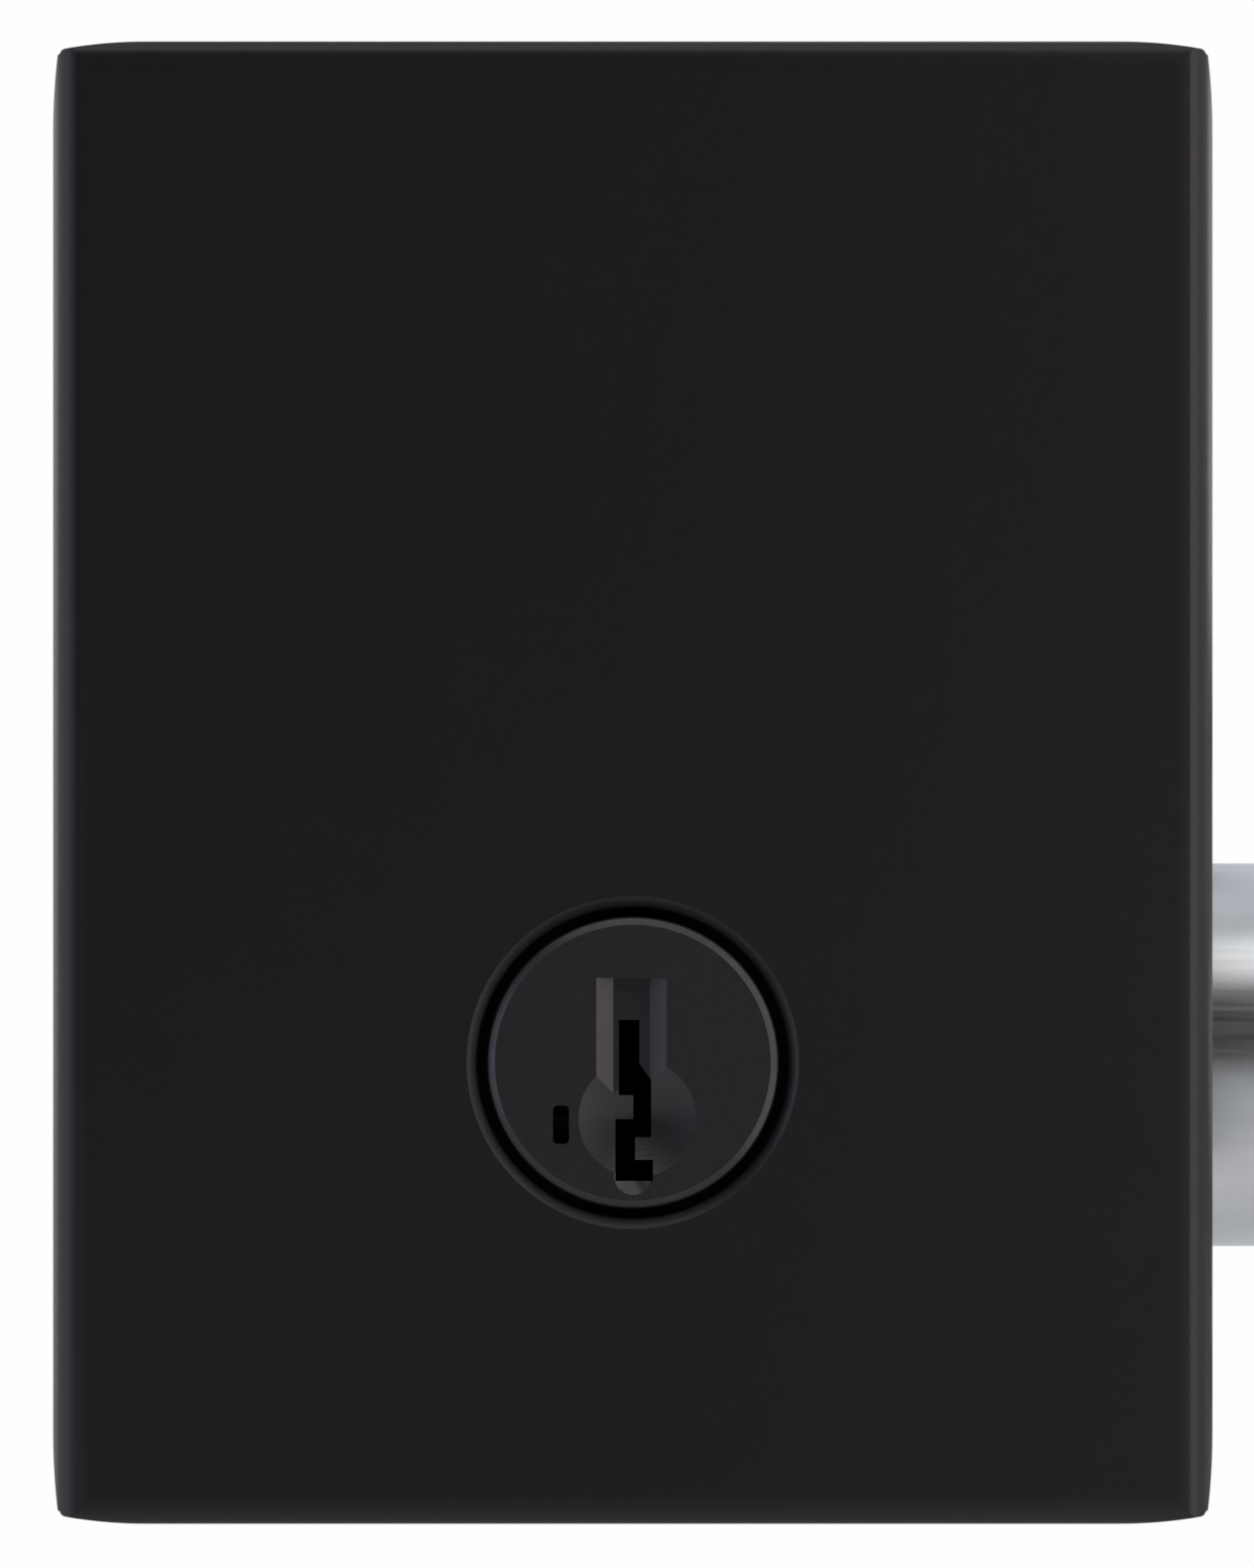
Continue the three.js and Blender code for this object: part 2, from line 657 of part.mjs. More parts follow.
function boltCam() {
  const tip = notch.x;
  const hub = turned([
    [0, -caseHalfDepth + 0.1], [journalRadius, -caseHalfDepth + 0.1], [journalRadius, -hubHalf],
    [hubRadius, -hubHalf], [hubRadius, hubHalf], [journalRadius, hubHalf],
    [journalRadius, caseHalfDepth - 0.1], [0, caseHalfDepth - 0.1],
  ]);
  const arm = alongY(armOutline(tip), armY[0], armY[1]);
  const pin = rod(crankPinRadius, tailY[0], armY[0] + 0.5, tip, tip, 16);
  return cut(union(hub, arm, pin), bladeSlot(-caseHalfDepth - through, caseHalfDepth + through));
}

// A tapered arm from the hub towards +X +Z, with a round tip.
function armOutline(tip) {
  const shape = new THREE.Shape();
  const across = Math.PI / 4 + Math.PI / 2;
  const root = hubRadius - 1.2;
  shape.moveTo(root * Math.cos(across), root * Math.sin(across));
  shape.lineTo(-root * Math.cos(across), -root * Math.sin(across));
  shape.absarc(tip, tip, tipRadius, across - Math.PI, across);
  shape.closePath();
  return shape;
}

function buildLatch() {
  const latch = section(plateY);
  place(latch, "bolt_case", boltCase(), "steel");
  place(latch, "latch_backplate", latchPlate(backplateRear, backplateRear + sheet, slack, 2.6), "steel");
  place(latch, "faceplate", faceplate(), "black");
  for (const [end, z] of Object.entries(screwZs)) {
    place(latch, `faceplate_screw_${end}`, flatScrew(), "black", [backset - 0.05, 0, z]);
  }
  place(latch, "dead_bolt", deadBolt(), "steel");
  place(latch, "bolt_tail", boltTail(), "steel");
  const rivetEnd = tailY[1] + gap + 2.6;
  place(latch, "bolt_rivet", rod(rivetHole - gap, 0.2 - boltDepth / 2, rivetEnd, rivetX, 0, 12), "steel");
  const saw = rodX(antiSaw.radius, antiSaw.from, antiSaw.to, 0, 0);
  place(latch, "anti_saw_pin_upper", saw, "hardened", [0, antiSaw.y, antiSaw.z]);
  place(latch, "anti_saw_pin_lower", saw, "hardened", [0, antiSaw.y, -antiSaw.z]);
  place(latch, "bolt_cam", boltCam(), "castZinc");
}

// ---- Inside half, drawn from the door's inside face ----
const shaftHole = shaftRadius + 0.9;
const bushingOuter = shaftRadius + 2.4;
const flange = bushingOuter + 2;
const clipGroove = { y: roseDepth - 6.4, depth: 0.9 };
const shaftFront = roseDepth + 10.5;
const shaftNeck = 4;
const turnBack = roseDepth + 2;
const roseScrew = { x: 16, y: 7, shank: 1.5, length: 5 };
const roseTab = { side: 5, reach: 3.6 };
const plateMargin = { side: 2, top: 8 };
const turnScrew = { radius: 1.3, y: turnBack + 3.2 };

function roseScrewHole(z0, z1) {
  return rodZ(roseScrew.shank + gap, z0, z1, roseScrew.x, roseScrew.y);
}

function interiorRose() {
  const rose = hollowCover(roseDepth).mirror([0, 1, 0]);
  return cut(
    rose,
    rod(bushingOuter + gap, roseDepth - coverWall - through, roseDepth + through, 0, 0, round),
    roseScrewHole(-coverBelow - through, -coverBelow + coverWall + through));
}

function interiorPlate() {
  const half = coverWidth / 2 - coverWall - plateMargin.side;
  const bottom = -coverBelow + coverWall + slack;
  const thickness = interiorPlateThickness;
  const [near, far] = [-through, thickness + through];
  let plate = block(-half, half, 0, thickness, bottom, coverScrewZ + plateMargin.top);
  plate = cut(plate, rod(shaftHole, near, far, 0, 0, round));
  for (const z of Object.values(postZs)) {
    plate = cut(plate, rod(throughBoltRadius + slack, near, far, 0, z, 16));
  }
  const [left, right] = [roseScrew.x - roseTab.side, roseScrew.x + roseTab.side];
  const tab = block(left, right, 0.5, roseScrew.y + roseTab.reach, bottom, bottom + thickness);
  return cut(union(plate, tab), roseScrewHole(bottom - through, bottom + thickness + through));
}

function throughBolt() {
  const headY = interiorPlateThickness + gap;
  const headTop = headY + 2.1;
  const end = headY - doorThickness - 7;
  const bolt = turned([
    [0, end],
    [throughBoltRadius, end],
    [throughBoltRadius, headY],
    [postRadius, headY],
    [postRadius, headY + 1.2],
    [postRadius - 0.8, headTop],
    [0, headTop],
  ], 0, 0, 16);
  return cut(bolt, crossRecess(2, 1).translate([0, headTop, 0]));
}

function thumbturnShaft() {
  const groove = shaftRadius - clipGroove.depth;
  const shaft = turned([
    [0, -plateY + caseHalfDepth + 1.5],
    [shaftRadius - 0.8, -plateY + caseHalfDepth + 1.5],
    [shaftRadius, -plateY + caseHalfDepth + 2.3],
    [shaftRadius, clipGroove.y],
    [groove, clipGroove.y],
    [groove, clipGroove.y + clipThickness + 2 * gap],
    [shaftRadius, clipGroove.y + clipThickness + 2 * gap],
    [shaftRadius, turnBack - gap],
    [shaftNeck, turnBack - gap],
    [shaftNeck, shaftFront],
    [0, shaftFront],
  ]);
  return cut(shaft, bladeSlot(-plateY, bladeReach));
}

function bushing() {
  const bore = shaftRadius + gap;
  const [back, front] = [roseDepth - coverWall - 1.8, roseDepth + 1.4];
  return turned([
    [bore, back], [bushingOuter, back], [bushingOuter, roseDepth + gap], [flange, roseDepth + gap],
    [flange, front - 0.4], [flange - 0.4, front], [bore, front], [bore, back],
  ], 0, 0, 28);
}

function thumbturn() {
  const hub = turned([
    [0, turnBack],
    [turnHubRadius, turnBack],
    [turnHubRadius, turnBack + turnHubDepth * 0.67],
    [turnHubRadius - 1.5, turnBack + turnHubDepth],
    [0, turnBack + turnHubDepth],
  ], 0, 0, 28);
  const [l, t] = [turnLength / 2, turnThickness / 2];
  const front = turnBack + turnDepth;
  const back = turnBack + paddleStart;
  const paddle = alongY(rounded(-l, l, -t, t, [t, t, t, t]), back, front);
  const side = rounded(-l, l, back, front, [4, 4, 3, 3]);
  const shape = union(hub, paddle.intersect(alongZ(side, -turnThickness, turnThickness)));
  return cut(
    shape,
    rod(shaftNeck + gap, turnBack - through, shaftFront + gap),
    rodZ(turnScrew.radius + gap, -turnHubRadius - through, -shaftNeck, 0, turnScrew.y, 12));
}

function buildInterior() {
  const inside = section(doorThickness);
  place(inside, "interior_plate", interiorPlate(), "steel");
  place(inside, "interior_rose", interiorRose(), "black");
  const socket = crossRecess(0.9, 0.8).rotate([-90, 0, 0]);
  const screw = cut(rodZ(roseScrew.shank, 0, roseScrew.length, 0, 0, 12), socket);
  place(inside, "rose_screw", screw, "black", [roseScrew.x, roseScrew.y, -coverBelow + 0.2]);
  for (const [end, z] of Object.entries(postZs)) {
    place(inside, `through_bolt_${end}`, throughBolt(), "steel", [0, 0, z]);
  }
  place(inside, "bushing", bushing(), "brass");
  place(inside, "thumbturn_shaft", thumbturnShaft(), "castZinc");
  const inner = shaftRadius - clipGroove.depth + gap;
  const ringY = clipGroove.y + gap;
  place(inside, "thumbturn_clip", openRing(inner, bushingOuter, ringY, ringY + clipThickness, 7), "steel");
  place(inside, "thumbturn", thumbturn(), "black");
  const grub = rodZ(turnScrew.radius, -turnHubRadius + 0.6, -shaftNeck - gap, 0, turnScrew.y, 12);
  place(inside, "thumbturn_screw", grub, "steel");
  const blade = block(
    -bladeThickness / 2, bladeThickness / 2,
    plugBack + bladeSeat + gap - doorThickness, bladeReach - gap,
    -bladeWidth / 2, bladeWidth / 2);
  place(inside, "torque_blade", blade, "steel");
}

buildExterior();
buildPlug();
buildLatch();
buildInterior();

export default lock;
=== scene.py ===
# Deadbolt lock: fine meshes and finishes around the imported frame, in metres.
import json
import math

import bmesh
import bpy
from mathutils import Matrix, Vector


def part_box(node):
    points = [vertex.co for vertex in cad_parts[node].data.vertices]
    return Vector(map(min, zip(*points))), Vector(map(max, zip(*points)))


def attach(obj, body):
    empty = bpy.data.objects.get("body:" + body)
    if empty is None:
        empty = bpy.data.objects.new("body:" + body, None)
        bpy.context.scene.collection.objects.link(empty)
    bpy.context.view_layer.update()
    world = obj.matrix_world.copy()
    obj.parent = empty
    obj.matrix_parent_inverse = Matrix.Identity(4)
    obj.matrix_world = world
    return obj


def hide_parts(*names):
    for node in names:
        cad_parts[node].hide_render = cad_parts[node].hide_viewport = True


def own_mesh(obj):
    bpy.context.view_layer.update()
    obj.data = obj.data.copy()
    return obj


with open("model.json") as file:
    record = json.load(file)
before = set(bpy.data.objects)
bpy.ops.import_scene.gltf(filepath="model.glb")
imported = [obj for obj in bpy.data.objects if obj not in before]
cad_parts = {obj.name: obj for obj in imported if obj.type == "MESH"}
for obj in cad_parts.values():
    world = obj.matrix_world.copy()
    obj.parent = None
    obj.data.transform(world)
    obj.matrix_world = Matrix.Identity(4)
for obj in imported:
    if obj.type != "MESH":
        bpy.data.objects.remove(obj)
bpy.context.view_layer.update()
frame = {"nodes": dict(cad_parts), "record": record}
mm = 0.001
gap = 0.3     # mm between pieces that touch, as the frame has it
through = 1   # mm that a cutter runs past the face that it cuts


# small tools
def linearColour(hexText):
    channels = [int(hexText[i:i + 2], 16) / 255 for i in (1, 3, 5)]
    return [c / 12.92 if c <= 0.04045 else ((c + 0.055) / 1.055) ** 2.4 for c in channels] + [1.0]


def addNode(tree, kind, inputs=None, **settings):
    # values go onto the sockets, and other nodes' outputs are linked
    node = tree.nodes.new(kind)
    for name, value in settings.items():
        setattr(node, name, value)
    for name, value in (inputs or {}).items():
        if isinstance(value, bpy.types.NodeSocket):
            tree.links.new(value, node.inputs[name])
        else:
            node.inputs[name].default_value = value
    return node


def startMaterial(name, shader):
    material = bpy.data.materials.new(name)
    material.use_nodes = True
    tree = material.node_tree
    tree.nodes.clear()
    bsdf = addNode(tree, "ShaderNodeBsdfPrincipled", shader)
    addNode(tree, "ShaderNodeOutputMaterial", {"Surface": bsdf.outputs["BSDF"]})
    where = addNode(tree, "ShaderNodeTexCoord").outputs["Object"]
    return material, tree, bsdf, where


def blendColours(tree, factor, first, second):
    mix = addNode(tree, "ShaderNodeMix", data_type="RGBA")
    tree.links.new(factor, mix.inputs[0])
    mix.inputs[6].default_value = linearColour(first)
    mix.inputs[7].default_value = linearColour(second)
    return mix.outputs[2]


def spread(tree, value, low, high):
    # takes a 0 to 1 pattern to a range
    node = addNode(tree, "ShaderNodeMapRange", {"Value": value, "To Min": low, "To Max": high})
    return node.outputs["Result"]


def newObject(name, bm):
    mesh = bpy.data.meshes.new(name)
    bm.to_mesh(mesh)
    bm.free()
    piece = bpy.data.objects.new(name, mesh)
    bpy.context.scene.collection.objects.link(piece)
    return piece


def tidyNormals(bm, distance=1e-7):
    bmesh.ops.remove_doubles(bm, verts=bm.verts, dist=distance)
    bmesh.ops.recalc_face_normals(bm, faces=bm.faces)


def spinProfile(points, centre=(0, 0, 0), axis="Y", steps=96):
    # points are (radius, place along the axis) in mm, and centre is in mm
    bm = bmesh.new()
    verts = [bm.verts.new((r * mm, 0, a * mm)) for r, a in points]
    edges = [bm.edges.new(pair) for pair in zip(verts, verts[1:])]
    bmesh.ops.spin(
        bm, geom=verts + edges, cent=(0, 0, 0), axis=(0, 0, 1), angle=2 * math.pi,
        steps=steps, use_merge=True)
    turn = {"X": Matrix.Rotation(math.pi / 2, 3, "Y"), "Y": Matrix.Rotation(-math.pi / 2, 3, "X"),
            "Z": Matrix.Identity(3)}[axis]
    bmesh.ops.transform(bm, matrix=turn.to_4x4(), verts=bm.verts)
    bmesh.ops.translate(bm, vec=Vector(centre) * mm, verts=bm.verts)
    tidyNormals(bm)
    return bm


def rodMesh(radius, low, high, centre=(0, 0, 0), axis="Y", steps=64):
    return spinProfile([(0, low), (radius, low), (radius, high), (0, high)], centre, axis, steps)


def boxMesh(low, high):
    # corners in mm
    bm = bmesh.new()
    bmesh.ops.create_cube(bm, size=1)
    size = [(b - a) * mm for a, b in zip(low, high)]
    middle = [(a + b) / 2 * mm for a, b in zip(low, high)]
    bmesh.ops.scale(bm, vec=size, verts=bm.verts)
    bmesh.ops.translate(bm, vec=middle, verts=bm.verts)
    return bm


def prismMesh(points, low, high, axis="Y"):
    # an outline in mm, in (x, z) along Y, (y, z) along X or (x, y) along Z
    place = {"Y": lambda a, b: (a, low, b), "X": lambda a, b: (low, a, b),
             "Z": lambda a, b: (a, b, low)}[axis]
    along = {"Y": (0, 1, 0), "X": (1, 0, 0), "Z": (0, 0, 1)}[axis]
    bm = bmesh.new()
    face = bm.faces.new([bm.verts.new(Vector(place(a, b)) * mm) for a, b in points])
    moved = bmesh.ops.extrude_face_region(bm, geom=[face])["geom"]
    grown = [v for v in moved if isinstance(v, bmesh.types.BMVert)]
    bmesh.ops.translate(bm, vec=Vector(along) * (high - low) * mm, verts=grown)
    bmesh.ops.recalc_face_normals(bm, faces=bm.faces)
    return bm


def arcPoints(centreA, centreB, radius, fromDegrees, toDegrees, steps=8):
    turns = [math.radians(fromDegrees + (toDegrees - fromDegrees) * i / steps) for i in range(steps + 1)]
    return [(centreA + radius * math.cos(t), centreB + radius * math.sin(t)) for t in turns]


def roundedOutline(a0, a1, b0, b1, radius, steps=8):
    corners = [(a0 + radius, b0 + radius, 180), (a1 - radius, b0 + radius, 270),
               (a1 - radius, b1 - radius, 0), (a0 + radius, b1 - radius, 90)]
    return [p for a, b, start in corners for p in arcPoints(a, b, radius, start, start + 90, steps)]


def jointTravel(name):
    # how far a slide goes, in mm
    joints = frame["record"]["behaviour"]["joints"]
    return next(joint["range_m"][1] for joint in joints if joint["name"] == name) / mm


def withoutDoubles(points):
    return [p for i, p in enumerate(points) if math.dist(p, points[i - 1]) > 1e-4]


def dome(seat, radius, height, degrees):
    # the round of a screw's head above its seat, as a profile
    turns = [math.radians(a) for a in degrees]
    return [(radius * math.cos(t), seat + height * math.sin(t)) for t in turns]


def aimed(bm, direction, centre):
    # a mesh drawn round the origin along +Y is turned to a direction and put in its place, in mm
    turn = Vector((0, 1, 0)).rotation_difference(Vector(direction)).to_matrix().to_4x4()
    bmesh.ops.transform(bm, matrix=turn, verts=bm.verts)
    bmesh.ops.translate(bm, vec=Vector(centre) * mm, verts=bm.verts)
    return bm


def crossRecess(size, depth, direction, centre):
    # two bars that narrow inwards, open towards the direction
    bars = []
    for wide, high in ((size, size * 0.3), (size * 0.3, size)):
        bm = boxMesh((-wide, -depth, -high), (wide, 1, high))
        for v in bm.verts:
            if v.co.y < 0:
                v.co.x *= 0.5
                v.co.z *= 0.5
        bars.append(aimed(bm, direction, centre))
    return bars


def threadRings(radius, start, end, pitch, depth):
    # the thread as closed ridges, from start to end
    count = max(1, int(abs(end - start) / pitch))
    step = (end - start) / count
    points = []
    for i in range(count):
        a = start + i * step
        points += [(radius - depth, a + 0.12 * step), (radius, a + 0.48 * step), (radius, a + 0.6 * step)]
    return points


def inMillimetres(node):
    low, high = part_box(node)
    return [v / mm for v in low], [v / mm for v in high]


def middleOf(node):
    low, high = inMillimetres(node)
    return [(a + b) / 2 for a, b in zip(low, high)]


def pieceName(node):
    return node.title().replace("_", "")


def carve(piece, cutters, operation="DIFFERENCE"):
    # cuts with closed meshes, joins them on, or keeps what they share
    tools = [newObject("cutter", bm) for bm in cutters]
    for tool in tools:
        modifier = piece.modifiers.new("cut", "BOOLEAN")
        modifier.operation = operation
        modifier.solver = "EXACT"
        modifier.object = tool
    shape = piece.evaluated_get(bpy.context.evaluated_depsgraph_get())
    finished = bpy.data.meshes.new_from_object(shape)
    finished.validate()
    piece.modifiers.clear()
    piece.data = finished
    for tool in tools:
        bpy.data.objects.remove(tool)
    return piece


def softenEdges(piece, width, segments=2, angle=32):
    # a small worked edge, and flat faces that stay flat
    if width:
        bevel = piece.modifiers.new("edges", "BEVEL")
        bevel.width = width * mm
        bevel.segments = segments
        bevel.limit_method = "ANGLE"
        bevel.angle_limit = math.radians(angle)
        bevel.miter_outer = "MITER_ARC"
        bevel.harden_normals = False
    weighted = piece.modifiers.new("normals", "WEIGHTED_NORMAL")
    weighted.keep_sharp = True
    weighted.weight = 90


def finishPiece(piece, material, body, nodes, edge=0.08, angle=32, segments=2):
    piece.data.materials.clear()
    piece.data.materials.append(material)
    piece.data.shade_smooth()
    piece.data.set_sharp_from_angle(angle=math.radians(angle))
    softenEdges(piece, edge, segments, angle)
    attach(piece, body)
    if nodes:
        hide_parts(*nodes)
    return piece


# finishes
def satinBlackPaint():
    # fine satin enamel sprayed on die-cast zinc: nearly black, soft highlights, faint orange peel
    material, tree, bsdf, where = startMaterial("satinBlackEnamelOnZinc", {
        "Base Color": linearColour("#141517"), "Roughness": 0.46, "Metallic": 0.0, "IOR": 1.5,
        "Specular IOR Level": 0.35})
    cloud = addNode(tree, "ShaderNodeTexNoise", {"Vector": where, "Scale": 38.0, "Detail": 2.0})
    tone = blendColours(tree, cloud.outputs["Fac"], "#121315", "#161718")
    peel = addNode(tree, "ShaderNodeTexNoise", {"Vector": where, "Scale": 1900.0, "Detail": 3.0})
    grit = addNode(tree, "ShaderNodeTexNoise", {"Vector": where, "Scale": 5200.0, "Detail": 1.0})
    tree.links.new(tone, bsdf.inputs["Base Color"])
    tree.links.new(spread(tree, peel.outputs["Fac"], 0.42, 0.52), bsdf.inputs["Roughness"])
    # peel about 0.5 mm across and pigment grit about 0.2 mm
    height = addNode(
        tree, "ShaderNodeMath", {0: peel.outputs["Fac"], 1: grit.outputs["Fac"]}, operation="ADD")
    bump = addNode(tree, "ShaderNodeBump", {
        "Strength": 0.06, "Distance": 0.05 * mm, "Height": height.outputs["Value"]})
    tree.links.new(bump.outputs["Normal"], bsdf.inputs["Normal"])
    return material


def grooveShadeBlack():
    # a near-black matt finish on the turned shell, darker than its metal would be: painted shade that keeps
    # the groove round the plug black
    material, tree, bsdf, where = startMaterial("shellBlackForGrooveShade", {
        "Base Color": linearColour("#050506"), "Roughness": 0.6, "Metallic": 0.0, "IOR": 1.45,
        "Specular IOR Level": 0.15})
    grit = addNode(tree, "ShaderNodeTexNoise", {"Vector": where, "Scale": 2200.0, "Detail": 3.0})
    tone = blendColours(tree, grit.outputs["Fac"], "#030304", "#08080a")
    tree.links.new(tone, bsdf.inputs["Base Color"])
    tree.links.new(spread(tree, grit.outputs["Fac"], 0.5, 0.7), bsdf.inputs["Roughness"])
    bump = addNode(tree, "ShaderNodeBump", {
        "Strength": 0.1, "Distance": 0.04 * mm, "Height": grit.outputs["Fac"]})
    tree.links.new(bump.outputs["Normal"], bsdf.inputs["Normal"])
    return material


def blackPlugCoat():
    # black coating on turned brass: a little brighter than the paint, with faint lathe rings
    material, tree, bsdf, where = startMaterial("blackCoatOnTurnedBrass", {
        "Base Color": linearColour("#1c1c1e"), "Roughness": 0.42, "Metallic": 0.0, "IOR": 1.55,
        "Specular IOR Level": 0.45})
    flat = addNode(tree, "ShaderNodeMapping", {"Vector": where, "Scale": (1.0, 0.0, 1.0)})
    rings = addNode(tree, "ShaderNodeTexWave", {
        "Vector": flat.outputs["Vector"], "Scale": 900.0, "Distortion": 0.6, "Detail": 1.0},
        wave_type="RINGS", rings_direction="Y")  # cutter feed about 0.35 mm
    grit = addNode(tree, "ShaderNodeTexNoise", {"Vector": where, "Scale": 2600.0, "Detail": 3.0})
    tree.links.new(spread(tree, grit.outputs["Fac"], 0.36, 0.5), bsdf.inputs["Roughness"])
    tone = blendColours(tree, grit.outputs["Fac"], "#19191b", "#202022")
    tree.links.new(tone, bsdf.inputs["Base Color"])
    height = addNode(
        tree, "ShaderNodeMath", {0: rings.outputs["Fac"], 1: grit.outputs["Fac"]}, operation="ADD")
    bump = addNode(tree, "ShaderNodeBump", {
        "Strength": 0.08, "Distance": 0.03 * mm, "Height": height.outputs["Value"]})
    tree.links.new(bump.outputs["Normal"], bsdf.inputs["Normal"])
    return material


def rolledMetal(name, low, high, roughness, grain, grainSize, along="X"):
    # bright metal with fine drawn or rolled lines along one direction
    material, tree, bsdf, where = startMaterial(name, {
        "Base Color": linearColour(high), "Metallic": 1.0, "Roughness": roughness})
    stretch = {"X": (0.04, 1.0, 1.0), "Y": (1.0, 0.04, 1.0), "Z": (1.0, 1.0, 0.04)}[along]
    drawn = addNode(tree, "ShaderNodeMapping", {"Vector": where, "Scale": stretch})
    lines = addNode(tree, "ShaderNodeTexNoise", {
        "Vector": drawn.outputs["Vector"], "Scale": 1000.0 / grainSize, "Detail": 3.0})
    cloud = addNode(tree, "ShaderNodeTexNoise", {"Vector": where, "Scale": 120.0, "Detail": 4.0})
    tone = blendColours(tree, cloud.outputs["Fac"], low, high)
    tree.links.new(tone, bsdf.inputs["Base Color"])
    rough = spread(tree, lines.outputs["Fac"], roughness - 0.1, roughness + 0.1)
    tree.links.new(rough, bsdf.inputs["Roughness"])
    bump = addNode(tree, "ShaderNodeBump", {
        "Strength": grain, "Distance": 0.03 * mm, "Height": lines.outputs["Fac"]})
    tree.links.new(bump.outputs["Normal"], bsdf.inputs["Normal"])
    return material


def castZinc():
    # bare die-cast zinc: grey, matt, with cool flow marks and a fine sandy skin
    material, tree, bsdf, where = startMaterial("bareDieCastZinc", {
        "Base Color": linearColour("#8d9093"), "Metallic": 0.9, "Roughness": 0.5})
    flow = addNode(tree, "ShaderNodeTexNoise", {
        "Vector": where, "Scale": 160.0, "Detail": 4.0, "Distortion": 1.2})
    skin = addNode(tree, "ShaderNodeTexNoise", {"Vector": where, "Scale": 2400.0, "Detail": 3.0})
    tone = blendColours(tree, flow.outputs["Fac"], "#787b7f", "#9fa2a4")
    tree.links.new(tone, bsdf.inputs["Base Color"])
    tree.links.new(spread(tree, flow.outputs["Fac"], 0.4, 0.6), bsdf.inputs["Roughness"])
    bump = addNode(tree, "ShaderNodeBump", {
        "Strength": 0.25, "Distance": 0.05 * mm, "Height": skin.outputs["Fac"]})
    tree.links.new(bump.outputs["Normal"], bsdf.inputs["Normal"])
    return material


finishes = {
    "blackPaint": satinBlackPaint(),
    "plugCoat": blackPlugCoat(),
    "grooveShadeBlack": grooveShadeBlack(),
    # brass darkened far below its own colour: painted shade for the pins and racks seen deep in the keyway
    "keywayShadeBrass": rolledMetal("pinBrassDarkenedForKeywayShade", "#211d14", "#332c1d", 0.24, 0.05, 0.3, "Z"),
    "zincPlate": rolledMetal("zincPlatedRolledSteel", "#b4b6b8", "#d3d5d6", 0.32, 0.12, 0.35),
    "boltPlate": rolledMetal("satinNickelPlatedBolt", "#bcbab4", "#d8d6d0", 0.26, 0.08, 0.3),
    "springWire": rolledMetal("drawnSpringWire", "#9a9da1", "#c2c5c8", 0.24, 0.05, 0.2, "Z"),
    "hardened": rolledMetal("groundHardenedSteel", "#5a5d61", "#7b7e82", 0.3, 0.1, 0.25, "Y"),
    "brass": rolledMetal("machinedBrass", "#b08d45", "#cfae63", 0.3, 0.08, 0.3, "Z"),
    "castZinc": castZinc(),
}
print("finishes made:", len(finishes))


# outside cover
cover = {
    "sideRoll": 2.4,        # rolled vertical edges
    "faceEdge": 0.9,        # small round along top and bottom
    "edgeStretch": 2.1,     # which reaches this much further along the face
    "wall": 2.2,
    "cornerPull": 0.45,     # the outline draws in this much near each corner
    "cornerRun": 6.0,       # over this length
    "cornerRound": 0.4,
    "rim": 0.6,             # groove round the plug
    "chamfer": 0.65,
    "postX": 20, "postZ": 33, "postRadius": 3.5, "postEnd": -4.9, "postRoot": 0.4,
    "pilot": 1.7, "pilotSkin": 1,
}


def easedOutline(a0, a1, b0, b1):
    # straight sides that bend in gently and end in a small round corner
    run, pull, small = cover["cornerRun"], cover["cornerPull"], cover["cornerRound"]
    steps = 8
    quarter = []
    for i in range(steps + 1):  # along the b1 side towards the corner (a1, b1)
        t = i / steps
        quarter.append((a1 - run + (run - pull - small) * t, b1 - pull * t * t))
    quarter += arcPoints(a1 - pull - small, b1 - pull - small, small, 75, 15, 5)
    for i in range(steps + 1):
        t = 1 - i / steps
        quarter.append((a1 - pull * 0.7 * t * t, b1 - run + (run - pull - small) * t))
    middleA, middleB = (a0 + a1) / 2, (b0 + b1) / 2
    upperLeft = [(2 * middleA - a, b) for a, b in reversed(quarter)]
    upper = upperLeft + quarter
    lower = [(a, 2 * middleB - b) for a, b in reversed(upper)]
    return upper + lower


def hollowCover(name, node, outward):
    # outward is -1 for a face towards -Y and 1 for one towards +Y
    low, high = inMillimetres(node)
    front, back = (low[1], high[1]) if outward < 0 else (high[1], low[1])
    roll, edge = cover["sideRoll"], cover["faceEdge"]
    inner = front - outward * roll
    plan = [(low[0], back), (low[0], inner)]
    plan += [(a, inner + outward * b) for a, b in arcPoints(low[0] + roll, 0, roll, 180, 90, 16)]
    plan += [(a, inner + outward * b) for a, b in arcPoints(high[0] - roll, 0, roll, 90, 0, 16)]
    plan += [(high[0], inner), (high[0], back)]
    inner, stretch = front - outward * edge, cover["edgeStretch"]
    profile = [(back, low[2]), (inner, low[2])]
    bottom = [(inner + outward * b, low[2] + (a + edge) * stretch)
              for a, b in arcPoints(0, 0, edge, 180, 90, 10)]
    profile += bottom + [(y, low[2] + high[2] - z) for y, z in reversed(bottom)]
    profile += [(inner, high[2]), (back, high[2])]
    outline = easedOutline(low[0], high[0], low[2], high[2])
    piece = newObject(name, prismMesh(outline, low[1], high[1], "Y"))
    carve(piece, [prismMesh(withoutDoubles(plan), low[2] - through, high[2] + through, "Z"),
                  prismMesh(withoutDoubles(profile), low[0] - through, high[0] + through, "X")], "INTERSECT")
    wall = cover["wall"]
    ends = back - outward * through, front - outward * wall
    hollow = boxMesh((low[0] + wall, min(ends), low[2] + wall), (high[0] - wall, max(ends), high[2] - wall))
    return carve(piece, [hollow])


